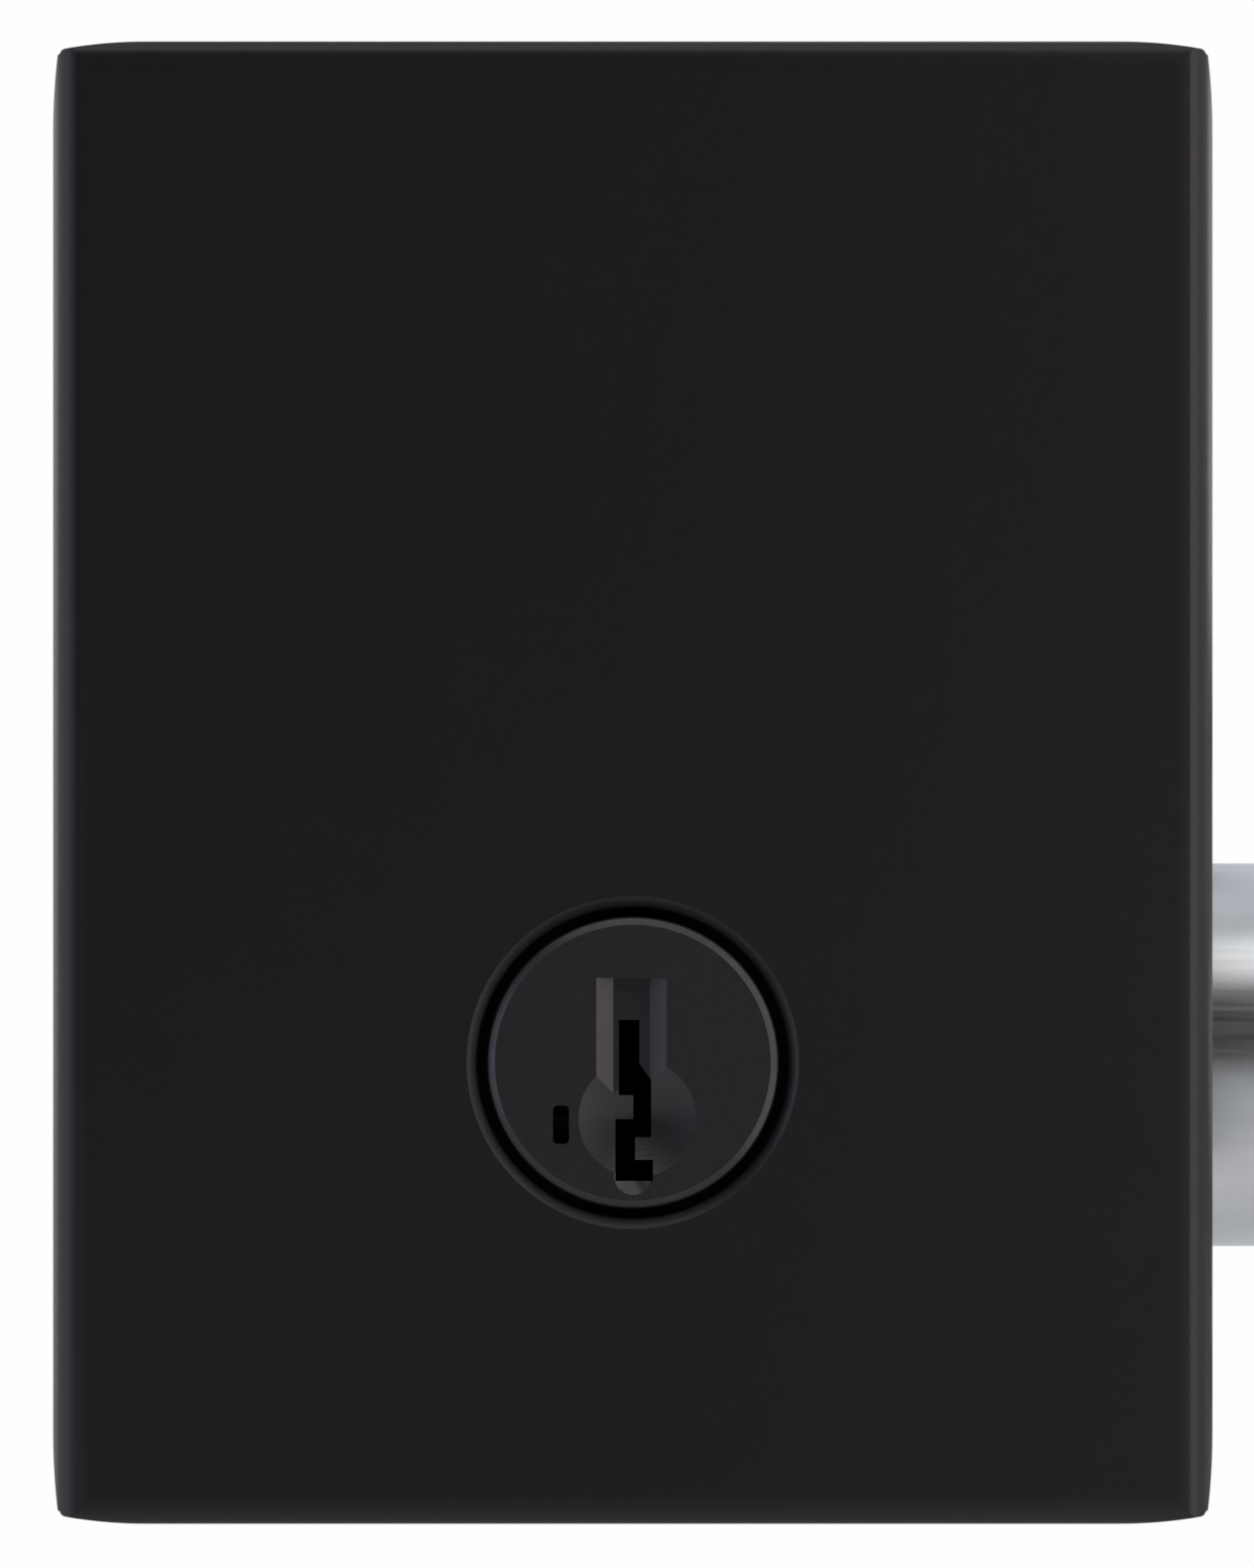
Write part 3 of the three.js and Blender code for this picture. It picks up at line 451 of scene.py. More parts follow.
def exteriorCover():
    # posts inside take the cover screws, and a groove with a soft rim runs round the plug
    face = inMillimetres("exterior_cover")[0][1]
    plugLow, plugHigh = inMillimetres("plug")
    hole = (plugHigh[0] - plugLow[0]) / 2 + cover["rim"]
    piece = hollowCover("exteriorCover", "exterior_cover", -1)
    sides = (-cover["postX"], cover["postX"])
    inner = face + cover["wall"]
    posts = [rodMesh(cover["postRadius"], inner - cover["postRoot"], cover["postEnd"], (x, 0, cover["postZ"]))
             for x in sides]
    carve(piece, posts, "UNION")
    pilots = [rodMesh(cover["pilot"], inner + cover["pilotSkin"], through, (x, 0, cover["postZ"]))
              for x in sides]
    lip = cover["chamfer"]
    mouth = spinProfile([
        (0, face - through), (hole + lip + 1.3, face - through), (hole + lip, face),
        (hole + lip * 0.15, face + lip * 0.65), (hole, face + lip), (hole, inner + through),
        (0, inner + through)], steps=128)
    carve(piece, [*pilots, mouth])
    return finishPiece(piece, finishes["blackPaint"], "root", ["exterior_cover"], edge=0.05)


exteriorCover()
print("outside cover made")


# plug
plugShape = {
    "bodyRadius": 8.4, "headDepth": 2.2, "neckDepth": 2.2, "tailDepth": 1.4,
    "faceBevel": 0.5,            # worked edge that catches light
    "keyway": [
        (0.41, 2.64), (0.41, -0.06), (1.14, -1.1), (1.14, -4.65), (0.14, -4.65), (0.14, -6.03),
        (1.25, -6.03), (1.25, -7.35), (-1.08, -7.35), (-1.08, -3.52), (0.03, -3.52), (0.03, -2.04),
        (-0.87, -2.04), (-0.87, 2.64)],
    "dishCentre": (0.28, -3.46), "dishRadius": 3.65, "dishDepth": 1.3, "dishCurve": 1.35,
    "channel": (-2.26, 2.1), "channelDepth": 0.68, "channelSlope": 1.05,
    "channelEnds": (-3.2, 5.25),
    "scoop": (1.15, -7.05), "scoopDepth": 0.58, "scoopRun": 0.85,
    "toolSlot": ((-4.95, -3.95), (-5.05, -2.65)), "toolRound": 0.3, "toolReach": 0.7,
    "pinHole": 1.45, "keywayPast": 0.35, "pocketWall": 0.05,
    "clear": 12,                 # a radius that is outside the plug
}


def plugPiece():
    low, high = inMillimetres("plug")
    p = plugShape
    head = (high[0] - low[0]) / 2
    face, back = low[1], high[1]
    clipLow, clipHigh = inMillimetres("plug_clip")
    body, neck, tail = p["bodyRadius"], p["bodyRadius"] - p["neckDepth"], p["bodyRadius"] - p["tailDepth"]
    bevel = p["faceBevel"]
    neckFront, neckBack = clipLow[1] - gap, clipHigh[1] + gap
    profile = [
        (0, face), (head - bevel, face), (head - bevel * 0.2, face + bevel * 0.6), (head, face + bevel),
        (head, face + p["headDepth"]), (body, face + p["headDepth"]), (body, neckFront),
        (neck, neckFront), (neck, neckBack), (tail, neckBack), (tail, back), (0, back)]
    piece = newObject("plugCore", spinProfile(profile, steps=128))
    pins = [inMillimetres(f"pin_{i}") for i in range(1, 6)]
    pinLow, lastHigh = pins[0][0], pins[-1][1]
    stripLow, stripHigh = inMillimetres("spring_cover")
    carrierLow, carrierHigh = inMillimetres("rack_carrier")
    bladeLow, bladeHigh = inMillimetres("torque_blade")
    keyway = prismMesh(p["keyway"], face - through, lastHigh[1] + p["keywayPast"])
    holes = [rodMesh(p["pinHole"], a[2] - gap, p["clear"], ((a[0] + b[0]) / 2, (a[1] + b[1]) / 2, 0), "Z", 32)
             for a, b in pins]
    strip = boxMesh((stripLow[0] - gap, stripLow[1] - gap, stripLow[2] - gap),
                    (stripHigh[0] + gap, stripHigh[1] + gap, p["clear"]))
    pocket = boxMesh((-p["clear"], carrierLow[1] - gap, carrierLow[2] - gap),
                     (pinLow[0] - p["pocketWall"], carrierHigh[1] + gap, carrierHigh[2] + gap))
    slotX, slotZ = p["toolSlot"]
    slot = prismMesh(
        roundedOutline(*slotX, *slotZ, p["toolRound"]), face - through, carrierLow[1] + p["toolReach"])
    blade = boxMesh((bladeLow[0] - gap, bladeLow[1] - gap, bladeLow[2] - gap),
                    (bladeHigh[0] + gap, back + through, bladeHigh[2] + gap))
    carve(piece, [dishCutter(face), channelCutter(face), scoopCutter(face)])
    carve(piece, [keyway, *holes])
    carve(piece, [strip, pocket, slot, blade])
    return finishPiece(piece, finishes["plugCoat"], "plug", ["plug"], edge=0.04, angle=14)


def dishCutter(face):
    # a shallow bowl round the keyway, steeper near its rim
    p = plugShape
    radius, depth = p["dishRadius"], p["dishDepth"]
    x, z = p["dishCentre"]
    shares = [i / 16 for i in range(21)]
    points = [(radius * t, face + depth * (1 - t ** p["dishCurve"])) for t in shares]
    points += [(points[-1][0], face - 2), (0, face - 2)]
    return spinProfile(points, (x, 0, z), steps=96)


def channelCutter(face):
    # an upright groove with sloping walls, square at its upper end
    p = plugShape
    x0, x1 = p["channel"]
    depth, slope = p["channelDepth"], p["channelSlope"]
    z0, z1 = p["channelEnds"]
    outside = 2 * depth  # the walls carry on past the face
    bm = boxMesh((x0, face - outside, z0), (x1, face + depth, z1))
    for v in bm.verts:
        inside = v.co.y > face * mm
        move = slope * mm if inside else -slope * mm * outside / depth
        v.co.x += move if v.co.x < 0 else -move
    return bm


def scoopCutter(face):
    # a small countersink below the keyway, whose lower side shows as a crescent
    p = plugShape
    radius, z = p["scoop"]
    depth, run = p["scoopDepth"], p["scoopRun"]
    front, back = face - depth, face + depth
    points = [(0, front), (radius + run, front), (radius - run, back), (0, back)]
    return spinProfile(points, (0, 0, z), steps=48)


plugPiece()
print("plug made")


# cylinder shell, adapter and cover screws
outsideHalf = {
    "shellRadius": 13.4, "bore": 8.65, "postRadius": 3.5, "postBack": 8, "postHole": 2.25,
    "postFront": 1.5, "barDepth": 5.5, "guardHole": 1.3,
    "sidebarSlot": 1.3, "sidebarReach": 9.75, "sidebarPast": 1.35,
    "plateThickness": 2, "adapterRadius": 26.01, "lipWall": 2, "tabX": 25, "tabCorner": 3,
    "webX": 9, "webHalf": 0.8, "webStart": 14.5, "webDepth": 2.2,
    "screwHole": 1.8, "slack": 0.4, "countersink": 1.0, "clear": 9,   # clear of the plate, both ways
    "shank": 1.4, "headHeight": 1.7, "pitch": 0.7, "threadDepth": 0.28,
}


def cylinderShell():
    o = outsideHalf
    low, high = inMillimetres("cylinder_shell")
    front, back = low[1], high[1]
    reach = high[2] - o["postRadius"]
    ease = 0.4
    barrel = spinProfile([
        (0, front), (o["shellRadius"] - ease, front), (o["shellRadius"], front + ease),
        (o["shellRadius"], back - ease), (o["shellRadius"] - ease, back), (0, back)], steps=96)
    piece = newObject("cylinderShell", barrel)
    half = o["postRadius"]
    bar = boxMesh((-half, front, -reach), (half, front + o["barDepth"], reach))
    posts = [rodMesh(half, front, o["postBack"], (0, 0, z), steps=48) for z in (-reach, reach)]
    carve(piece, [bar, *posts], "UNION")
    cuts = [rodMesh(o["bore"], front - through, back + through, steps=96)]
    cuts += [rodMesh(o["postHole"], front + o["postFront"], o["postBack"] + through, (0, 0, z), steps=40)
             for z in (-reach, reach)]
    for node in ("guard_pin_left", "guard_pin_right"):
        x, y, z = middleOf(node)
        cuts.append(rodMesh(o["guardHole"], front - through, 2 * y - front + gap, (x, 0, z), steps=32))
    near = inMillimetres("pin_1")[0][1] - o["sidebarPast"]
    far = inMillimetres("pin_5")[1][1] + o["sidebarPast"]
    slot, deep = o["sidebarSlot"], o["sidebarReach"]
    cuts += [boxMesh((-deep, near, -slot), (0, far, slot)), boxMesh((-slot, near, -deep), (slot, far, 0))]
    carve(piece, cuts)
    # the shell takes the near-black finish that paints the shade in the groove round the plug
    return finishPiece(piece, finishes["grooveShadeBlack"], "root", ["cylinder_shell"], edge=0.12)


def mountingAdapter():
    # a cast plate with a lip that fills the door's bore, and two ears for the cover's screws
    o = outsideHalf
    low, high = inMillimetres("mounting_adapter")
    front, back = low[1], low[1] + o["plateThickness"]
    radius, wall = o["adapterRadius"], o["lipWall"]
    ease = 0.5
    rim, fillet = 0.3, 1.2
    piece = newObject("mountingAdapter", spinProfile([
        (0, front), (radius - ease, front), (radius, front + ease), (radius, high[1] - rim),
        (radius - rim, high[1]), (radius - wall + rim, high[1]), (radius - wall, high[1] - rim),
        (radius - wall, back + fillet), (radius - wall - fillet, back), (0, back)], steps=128))
    ears = prismMesh(roundedOutline(-o["tabX"], o["tabX"], 0, high[2], o["tabCorner"]), front, back)
    half = o["webHalf"]
    webs = [boxMesh((x - half, back - 0.5, o["webStart"]), (x + half, back + o["webDepth"], radius - wall))
            for x in (-o["webX"], o["webX"])]
    carve(piece, [ears, *webs], "UNION")
    clear = o["clear"]
    cuts = [rodMesh(o["shellRadius"] + o["slack"], -clear, clear, steps=96)]
    reach = middleOf("through_bolt_upper")[2]
    postHole = o["postRadius"] + o["slack"]
    cuts += [rodMesh(postHole, -clear, clear, (0, 0, z), steps=48) for z in (-reach, reach)]
    hole, sink = o["screwHole"], o["screwHole"] + o["countersink"]
    for side in ("left", "right"):
        x, _, z = middleOf(f"cover_screw_{side}")
        cuts.append(spinProfile([
            (0, front - through), (hole, front - through), (hole, back - 0.5), (sink, back + 0.5),
            (0, back + 0.5)], (x, 0, z), steps=40))
    carve(piece, cuts)
    return finishPiece(piece, finishes["castZinc"], "root", ["mounting_adapter"], edge=0.15)


def panScrew(node):
    # thread along -Y, domed head towards +Y
    o = outsideHalf
    low, high = inMillimetres(node)
    x, _, z = middleOf(node)
    shank, head, headHeight = o["shank"], (high[0] - low[0]) / 2, o["headHeight"]
    seat, rim = high[1] - headHeight, 0.5
    points = [(0, low[1]), (shank - 0.5, low[1])]
    points += threadRings(shank, low[1] + 0.4, seat - 0.5, o["pitch"], o["threadDepth"])
    points += [(shank, seat - 0.3), (shank, seat), (head, seat), (head, seat + rim)]
    points += dome(seat + rim, head, headHeight - rim, (15, 30, 45, 60, 75))
    points.append((0, high[1]))
    piece = newObject(pieceName(node), spinProfile(points, (x, 0, z), steps=40))
    carve(piece, crossRecess(1.45, 0.9, (0, 1, 0), (x, high[1], z)))
    return finishPiece(piece, finishes["zincPlate"], "root", [node], edge=0.03, angle=28)


cylinderShell()
mountingAdapter()
for side in ("left", "right"):
    panScrew(f"cover_screw_{side}")
print("shell, adapter and cover screws made")


# latch
latch = {
    "sheet": 1.2, "sideInner": 5.5, "tubeRadius": 12.2, "journal": 5, "hubRadius": 5.8, "hubHalf": 4.8,
    "windowZ": 9.9, "sideZ": 9.5, "sideRear": -9.5, "sideCorner": 4, "bead": 0.35,
    "faceCorner": 6.35, "sinkRadius": 4.3, "sinkDepth": 2.4, "screwHole": 2.3, "backHole": 2.6,
    "boltCorner": 2, "boltNose": 0.8, "slotY": (-5.0, -1.9), "slotZ": 5.3, "slotFront": 12.3,
    "rivetPlace": 6, "rivetHole": 1.8, "rivetEnd": 3, "pinHole": 2.2, "pinCap": 4,
    "armY": (-1.6, 1.6), "tipRadius": 2.1, "crankRadius": 2,
    "closedEnd": 1.5,            # from the drawn-in bolt to the tube's end
    "firstBead": 8, "lastBead": 6, "clear": 13,   # clear of the bolt
    "shank": 1.9, "headDepth": 2.1, "pitch": 1.5, "threadDepth": 0.5,
}


def latchCase(tubeEnd):
    # a drawn tube whose rear end is closed but for a window, and the case's centre plane
    p = latch
    low, high = inMillimetres("bolt_case")
    plateY = (low[1] + high[1]) / 2
    radius, sheet, bead = p["tubeRadius"], p["sheet"], p["bead"]
    tube = [(0, tubeEnd), (radius - 1.2, tubeEnd), (radius - 0.35, tubeEnd + 0.35), (radius, tubeEnd + 1.2)]
    for place in (tubeEnd + p["firstBead"], high[0] - p["lastBead"]):  # rolled beads that stiffen the tube
        tube += [(radius, place - 1), (radius - bead, place - 0.4),
                 (radius - bead, place + 0.4), (radius, place + 1)]
    tube += [(radius, high[0] - 0.2), (radius - 0.2, high[0]), (radius - sheet, high[0])]
    inner = radius - sheet
    tube += [(inner, tubeEnd + 1.6), (inner - 0.4, tubeEnd + sheet), (0, tubeEnd + sheet)]
    piece = newObject("boltCase", spinProfile(tube, (0, plateY, 0), "X", 96))
    window = p["sideInner"] - gap
    carve(piece, [boxMesh((tubeEnd - through, plateY - window, -p["windowZ"]),
                          (tubeEnd + sheet + through, plateY + window, p["windowZ"]))])
    return piece, plateY


def boltCasePiece():
    # two ears of sheet behind the tube carry the cam
    p = latch
    tubeEnd = inMillimetres("dead_bolt")[0][0] - jointTravel("bolt_throw") - p["closedEnd"]
    piece, plateY = latchCase(tubeEnd)
    corner = p["sideCorner"]
    outline = [(tubeEnd + 0.6, -p["sideZ"]), (tubeEnd + 0.6, p["sideZ"])]
    outline += arcPoints(p["sideRear"] + corner, p["sideZ"] - corner, corner, 90, 180, 8)
    outline += arcPoints(p["sideRear"] + corner, -p["sideZ"] + corner, corner, 180, 270, 8)
    inner = p["sideInner"]
    halfDepth = inner + p["sheet"]
    for near, far in ((plateY - halfDepth, plateY - inner), (plateY + inner, plateY + halfDepth)):
        carve(piece, [prismMesh(outline, near, far)], "UNION")
    carve(piece, [rodMesh(
        p["journal"] + gap, plateY - halfDepth - through, plateY + halfDepth + through, steps=64)])
    return finishPiece(piece, finishes["zincPlate"], "root", ["bolt_case"], edge=0.1)


def boltOpening(grow, x0, x1):
    low, high = inMillimetres("dead_bolt")
    corner = latch["boltCorner"] + grow
    outline = roundedOutline(low[1] - grow, high[1] + grow, low[2] - grow, high[2] + grow, corner)
    return prismMesh(outline, x0, x1, "X")


def latchPlates():
    p = latch
    screwZs = [middleOf(f"faceplate_screw_{end}")[2] for end in ("upper", "lower")]
    for node, grow, edge, finish, slotName in (
            ("faceplate", gap, 0.35, "blackPaint", "black_paint"),
            ("latch_backplate", 0.4, 0.15, "zincPlate", "steel")):
        low, high = inMillimetres(node)
        plateY = (low[1] + high[1]) / 2
        outline = roundedOutline(low[1], high[1], low[2], high[2], p["faceCorner"], 12)
        piece = newObject(pieceName(node), prismMesh(outline, low[0], high[0], "X"))
        back, front = low[0] - through, high[0] + through
        cuts = [boltOpening(grow, back, front)]
        for z in screwZs:
            if node == "faceplate":
                cuts.append(spinProfile([
                    (0, back), (p["screwHole"], back), (p["screwHole"], high[0] - p["sinkDepth"]),
                    (p["sinkRadius"] + through, front), (0, front)], (0, plateY, z), "X", 48))
            else:
                cuts.append(rodMesh(p["backHole"], back, front, (0, plateY, z), "X", 48))
        carve(piece, cuts)
        finishPiece(piece, finishes[finish], "root", [node], edge=edge, segments=3)


def woodScrew(node):
    # countersunk head towards +X with a cross recess, coarse thread to a point
    p = latch
    low, high = inMillimetres(node)
    _, y, z = middleOf(node)
    head, top, tip = (high[2] - low[2]) / 2, high[0], low[0]
    shank, sink = p["shank"], p["headDepth"]
    points = [(0, top), (head - 0.15, top), (head, top - 0.2), (shank, top - sink), (shank, top - sink - 2)]
    points += threadRings(shank, top - sink - 2.4, tip + 3.4, p["pitch"], p["threadDepth"])
    points += [(shank - 0.5, tip + 3), (0.9, tip + 1.6), (0.3, tip + 0.3), (0, tip)]
    piece = newObject(pieceName(node), spinProfile(points, (0, y, z), "X", 48))
    carve(piece, crossRecess(2.1, 1.3, (1, 0, 0), (top, y, z)))
    return finishPiece(piece, finishes["blackPaint"], "root", [node], edge=0.04, angle=28)


def deadBoltPiece():
    p = latch
    low, high = inMillimetres("dead_bolt")
    plateY = (low[1] + high[1]) / 2
    rear, front = low[0], high[0]
    nose, corner = p["boltNose"], p["boltCorner"]
    piece = newObject("deadBolt", prismMesh(
        roundedOutline(low[1], high[1], low[2], high[2], corner, 8), rear, front, "X"))
    for sideLow, sideHigh, axis in ((low[2], high[2], "Y"), (low[1], high[1], "Z")):
        outline = [(rear - through, sideLow), *arcPoints(front - nose, sideLow + nose, nose, 270, 360, 6),
                   *arcPoints(front - nose, sideHigh - nose, nose, 0, 90, 6), (rear - through, sideHigh)]
        across = 1 if axis == "Y" else 2
        reach = (low[across] - through, high[across] + through)
        carve(piece, [prismMesh(withoutDoubles(outline), *reach, axis)], "INTERSECT")
    slotLow, slotHigh = p["slotY"]
    cuts = [boxMesh((rear - through, plateY + slotLow, -p["slotZ"]),
                    (rear + p["slotFront"], plateY + slotHigh, p["slotZ"])),
            rodMesh(p["rivetHole"], plateY - p["clear"], plateY + slotHigh + p["rivetEnd"],
                    (rear + p["rivetPlace"], 0, 0), steps=40)]
    for end in ("upper", "lower"):
        _, y, z = middleOf(f"anti_saw_pin_{end}")
        cuts.append(rodMesh(p["pinHole"], rear - through, front - p["pinCap"], (0, y, z), "X", 40))
    carve(piece, cuts)
    return finishPiece(piece, finishes["boltPlate"], "bolt", ["dead_bolt"], edge=0.12)


def camPiece():
    # hub with two journals, a tapered arm and its crank pin
    p = latch
    low, high = inMillimetres("bolt_cam")
    plateY = middleOf("bolt_case")[1]
    journal, hub, half, end = p["journal"], p["hubRadius"], p["hubHalf"], high[1] - plateY
    ease = 0.3
    profile = [
        (0, -end), (journal - ease, -end), (journal, -end + ease), (journal, -half), (hub - ease, -half),
        (hub, -half + ease), (hub, half - ease), (hub - ease, half), (journal, half), (journal, end - ease),
        (journal - ease, end), (0, end)]
    piece = newObject("boltCam", spinProfile(profile, (0, plateY, 0), steps=72))
    tip = high[0] - p["tipRadius"]
    root = (hub - 1.2) * math.sqrt(0.5)
    outline = [(-root, root), (root, -root), *arcPoints(tip, tip, p["tipRadius"], -45, 135, 12)]
    armLow, armHigh = p["armY"]
    crankLow = inMillimetres("bolt_tail")[0][1]
    arm = prismMesh(outline, plateY + armLow, plateY + armHigh)
    crank = rodMesh(p["crankRadius"], crankLow, plateY + armLow + 0.5, (tip, 0, tip), steps=40)
    carve(piece, [arm], "UNION")
    carve(piece, [crank], "UNION")
    carve(piece, [bladeSlot(plateY - p["clear"], plateY + p["clear"])])
    return finishPiece(piece, finishes["castZinc"], "turn", ["bolt_cam"], edge=0.15)


def bladeSlot(y0, y1):
    low, high = inMillimetres("torque_blade")
    return boxMesh((low[0] - gap, y0, low[2] - gap), (high[0] + gap, y1, high[2] + gap))


boltCasePiece()
latchPlates()
for end in ("upper", "lower"):
    woodScrew(f"faceplate_screw_{end}")
deadBoltPiece()
camPiece()
print("latch made")


# inside half
insideHalf = {
    "bushingHole": 8.7, "setScrewHole": 1.8, "setScrewReach": 3.2,
    "bushingRadius": 8.4, "bushingBore": 6.3, "flangeThickness": 1.1,
    "hubDepth": 9, "cove": 3.2, "paddleStart": 4, "paddleThickness": 6.4, "paddleCorner": 3.6,
    "paddleEdge": 0.6, "waist": 0.16, "turnBore": 4.3,
    "turnScrewHole": 1.6, "shaftRadius": 6, "shaftNeck": 4, "clipDepth": 0.9,
    "plateThickness": 1.8, "plateHole": 6.9, "plateCorner": 3, "tabHalf": 5, "boltHole": 2.35,
    "boltRadius": 1.95, "boltHead": 2.1, "boltThread": 34, "pitch": 0.8, "threadDepth": 0.32,
}


def insideRose():
    i = insideHalf
    low, high = inMillimetres("interior_rose")
    x, y, _ = middleOf("rose_screw")
    face, bore = high[1], i["bushingHole"]
    piece = hollowCover("insideRose", "interior_rose", 1)
    inner = face - 4   # inside the hollow
    mouth = spinProfile([
        (0, face + through), (bore + 1.4, face + through), (bore, face - 0.4), (bore, inner),
        (0, inner)], steps=96)
    pilot = rodMesh(i["setScrewHole"], low[2] - through, low[2] + i["setScrewReach"], (x, y, 0), "Z", 40)
    carve(piece, [mouth, pilot])
    return finishPiece(piece, finishes["blackPaint"], "root", ["interior_rose"], edge=0.05)


def bushingPiece():
    # a flanged sleeve that the shaft turns in
    i = insideHalf
    low, high = inMillimetres("bushing")
    radius, bore = i["bushingRadius"], i["bushingBore"]
    flange, back, front = (high[0] - low[0]) / 2, low[1], high[1]
    seat = front - i["flangeThickness"]
    points = [
        (bore, back), (radius - 0.3, back), (radius, back + 0.3), (radius, seat), (flange, seat),
        *arcPoints(flange - 0.5, front - 0.5, 0.5, 0, 90, 5),
        (bore + 0.4, front), (bore, front - 0.4), (bore, back)]
    piece = newObject("bushing", spinProfile(points, steps=96))
    return finishPiece(piece, finishes["brass"], "root", ["bushing"], edge=0)


def shaftPiece():
    i = insideHalf
    low, high = inMillimetres("thumbturn_shaft")
    clipLow, clipHigh = inMillimetres("thumbturn_clip")
    radius, neck, shoulder = i["shaftRadius"], i["shaftNeck"], inMillimetres("thumbturn")[0][1] - gap
    groove = radius - i["clipDepth"]
    front = high[1]
    grooveStart, grooveEnd = clipLow[1] - gap, clipHigh[1] + gap
    points = [
        (0, low[1]), (radius - 0.8, low[1]), (radius, low[1] + 0.8), (radius, grooveStart),
        (groove, grooveStart), (groove, grooveEnd), (radius, grooveEnd),
        (radius, shoulder - 0.3), (radius - 0.3, shoulder), (neck, shoulder), (neck, front - 0.6),
        (neck - 0.6, front), (0, front)]
    piece = newObject("thumbturnShaft", spinProfile(points, steps=64))
    carve(piece, [bladeSlot(low[1] - through, inMillimetres("torque_blade")[1][1] + gap)])
    return finishPiece(piece, finishes["castZinc"], "turn", ["thumbturn_shaft"], edge=0.08)


def thumbturnPiece():
    # a round hub that grows into a flat paddle with soft edges
    i = insideHalf
    low, high = inMillimetres("thumbturn")
    back, front, half = low[1], high[1], high[0]
    hub, thick = high[2], i["paddleThickness"] / 2
    start = back + i["paddleStart"]
    inset = i["cove"]
    turns = [math.radians(a) for a in range(0, 91, 10)]
    cove = [(hub - inset + inset * math.cos(t), back + 5 + 4 * math.sin(t)) for t in turns]
    points = [(0, back), (hub - 0.5, back), (hub, back + 0.5), *cove, (0, back + i["hubDepth"])]
    piece = newObject("thumbturn", spinProfile(withoutDoubles(points), steps=96))
    reach = half - thick
    waist = [(reach * t / 12, thick * (1 - i["waist"] * (1 - (t / 12) ** 2))) for t in range(-11, 12)]
    grip = [(x, -z) for x, z in waist] + arcPoints(reach, 0, thick, -90, 90, 12)
    grip += list(reversed(waist)) + arcPoints(-reach, 0, thick, 90, 270, 12)
    paddle = newObject("paddle", prismMesh(grip, start, front))
    plan = roundedOutline(-half, half, start, front, i["paddleCorner"], 10)
    carve(paddle, [prismMesh(plan, -half, half, "Z")], "INTERSECT")
    bm = bmesh.new()
    bm.from_mesh(paddle.data)
    bpy.data.objects.remove(paddle)
    tidyNormals(bm, 1e-6)
    sharp = [e for e in bm.edges if len(e.link_faces) == 2 and e.calc_face_angle() > math.radians(35)]
    bmesh.ops.bevel(
        bm, geom=sharp, offset=i["paddleEdge"] * mm, affect="EDGES", segments=4, profile=0.5, material=-1)
    carve(piece, [bm], "UNION")
    screwY = middleOf("thumbturn_screw")[1]
    shaftFront = inMillimetres("thumbturn_shaft")[1][1]
    cuts = [rodMesh(i["turnBore"], back - through, shaftFront + gap, steps=56),
            rodMesh(i["turnScrewHole"], low[2] - through, -i["shaftNeck"], (0, screwY, 0), "Z", 40)]
    carve(piece, cuts)
    return finishPiece(
        piece, finishes["blackPaint"], "turn", ["thumbturn"], edge=0.15, segments=3)


def insidePlate():
    # pressed sheet with a turned tab for the rose's set screw
    i = insideHalf
    low, high = inMillimetres("interior_plate")
    x, y, _ = middleOf("rose_screw")
    near, far = low[1], low[1] + i["plateThickness"]
    piece = newObject("insidePlate", prismMesh(
        roundedOutline(low[0], high[0], low[2], high[2], i["plateCorner"]), near, far))
    tabOutline = roundedOutline(x - i["tabHalf"], x + i["tabHalf"], near + 0.5, high[1], 1.2)
    carve(piece, [prismMesh(tabOutline, low[2], low[2] + i["plateThickness"], "Z")], "UNION")
    cuts = [rodMesh(i["plateHole"], near - through, far + through, steps=72),
            rodMesh(i["setScrewHole"], low[2] - through, low[2] + 3, (x, y, 0), "Z", 40)]
    for end in ("upper", "lower"):
        z = middleOf(f"through_bolt_{end}")[2]
        cuts.append(rodMesh(i["boltHole"], near - through, far + through, (0, 0, z), steps=40))
    carve(piece, cuts)
    return finishPiece(piece, finishes["zincPlate"], "root", ["interior_plate"], edge=0.15)


def throughBoltPiece(node):
    i = insideHalf
    low, high = inMillimetres(node)
    z = middleOf(node)[2]
    radius, head = i["boltRadius"], (high[0] - low[0]) / 2
    seat, rim = high[1] - i["boltHead"], 0.8
    threadEnd = low[1] + i["boltThread"]
    points = [(0, low[1]), (radius - 0.6, low[1])]
    points += threadRings(radius, low[1] + 0.6, threadEnd, i["pitch"], i["threadDepth"])
    points += [(radius, threadEnd + 0.6), (radius, seat), (head, seat), (head, seat + rim)]
    points += dome(seat + rim, head, i["boltHead"] - rim, (20, 40, 55, 70))
    points.append((0, high[1]))
    piece = newObject(pieceName(node), spinProfile(points, (0, 0, z), steps=40))
    carve(piece, crossRecess(1.9, 1.1, (0, 1, 0), (0, high[1], z)))
    return finishPiece(piece, finishes["zincPlate"], "root", [node], edge=0.03, angle=28)


def retainingClip(node, inner, mouth, body):
    # an open spring clip with its mouth upwards
    low, high = inMillimetres(node)
    outer = (high[0] - low[0]) / 2
    ring = [(inner, low[1]), (outer, low[1]), (outer, high[1]), (inner, high[1]), (inner, low[1])]
    piece = newObject(pieceName(node), spinProfile(ring, steps=72))
    half = mouth / 2
    carve(piece, [boxMesh((-half, low[1] - through, 0), (half, high[1] + through, outer + through))])
    return finishPiece(piece, finishes["zincPlate"], body, [node], edge=0.15)


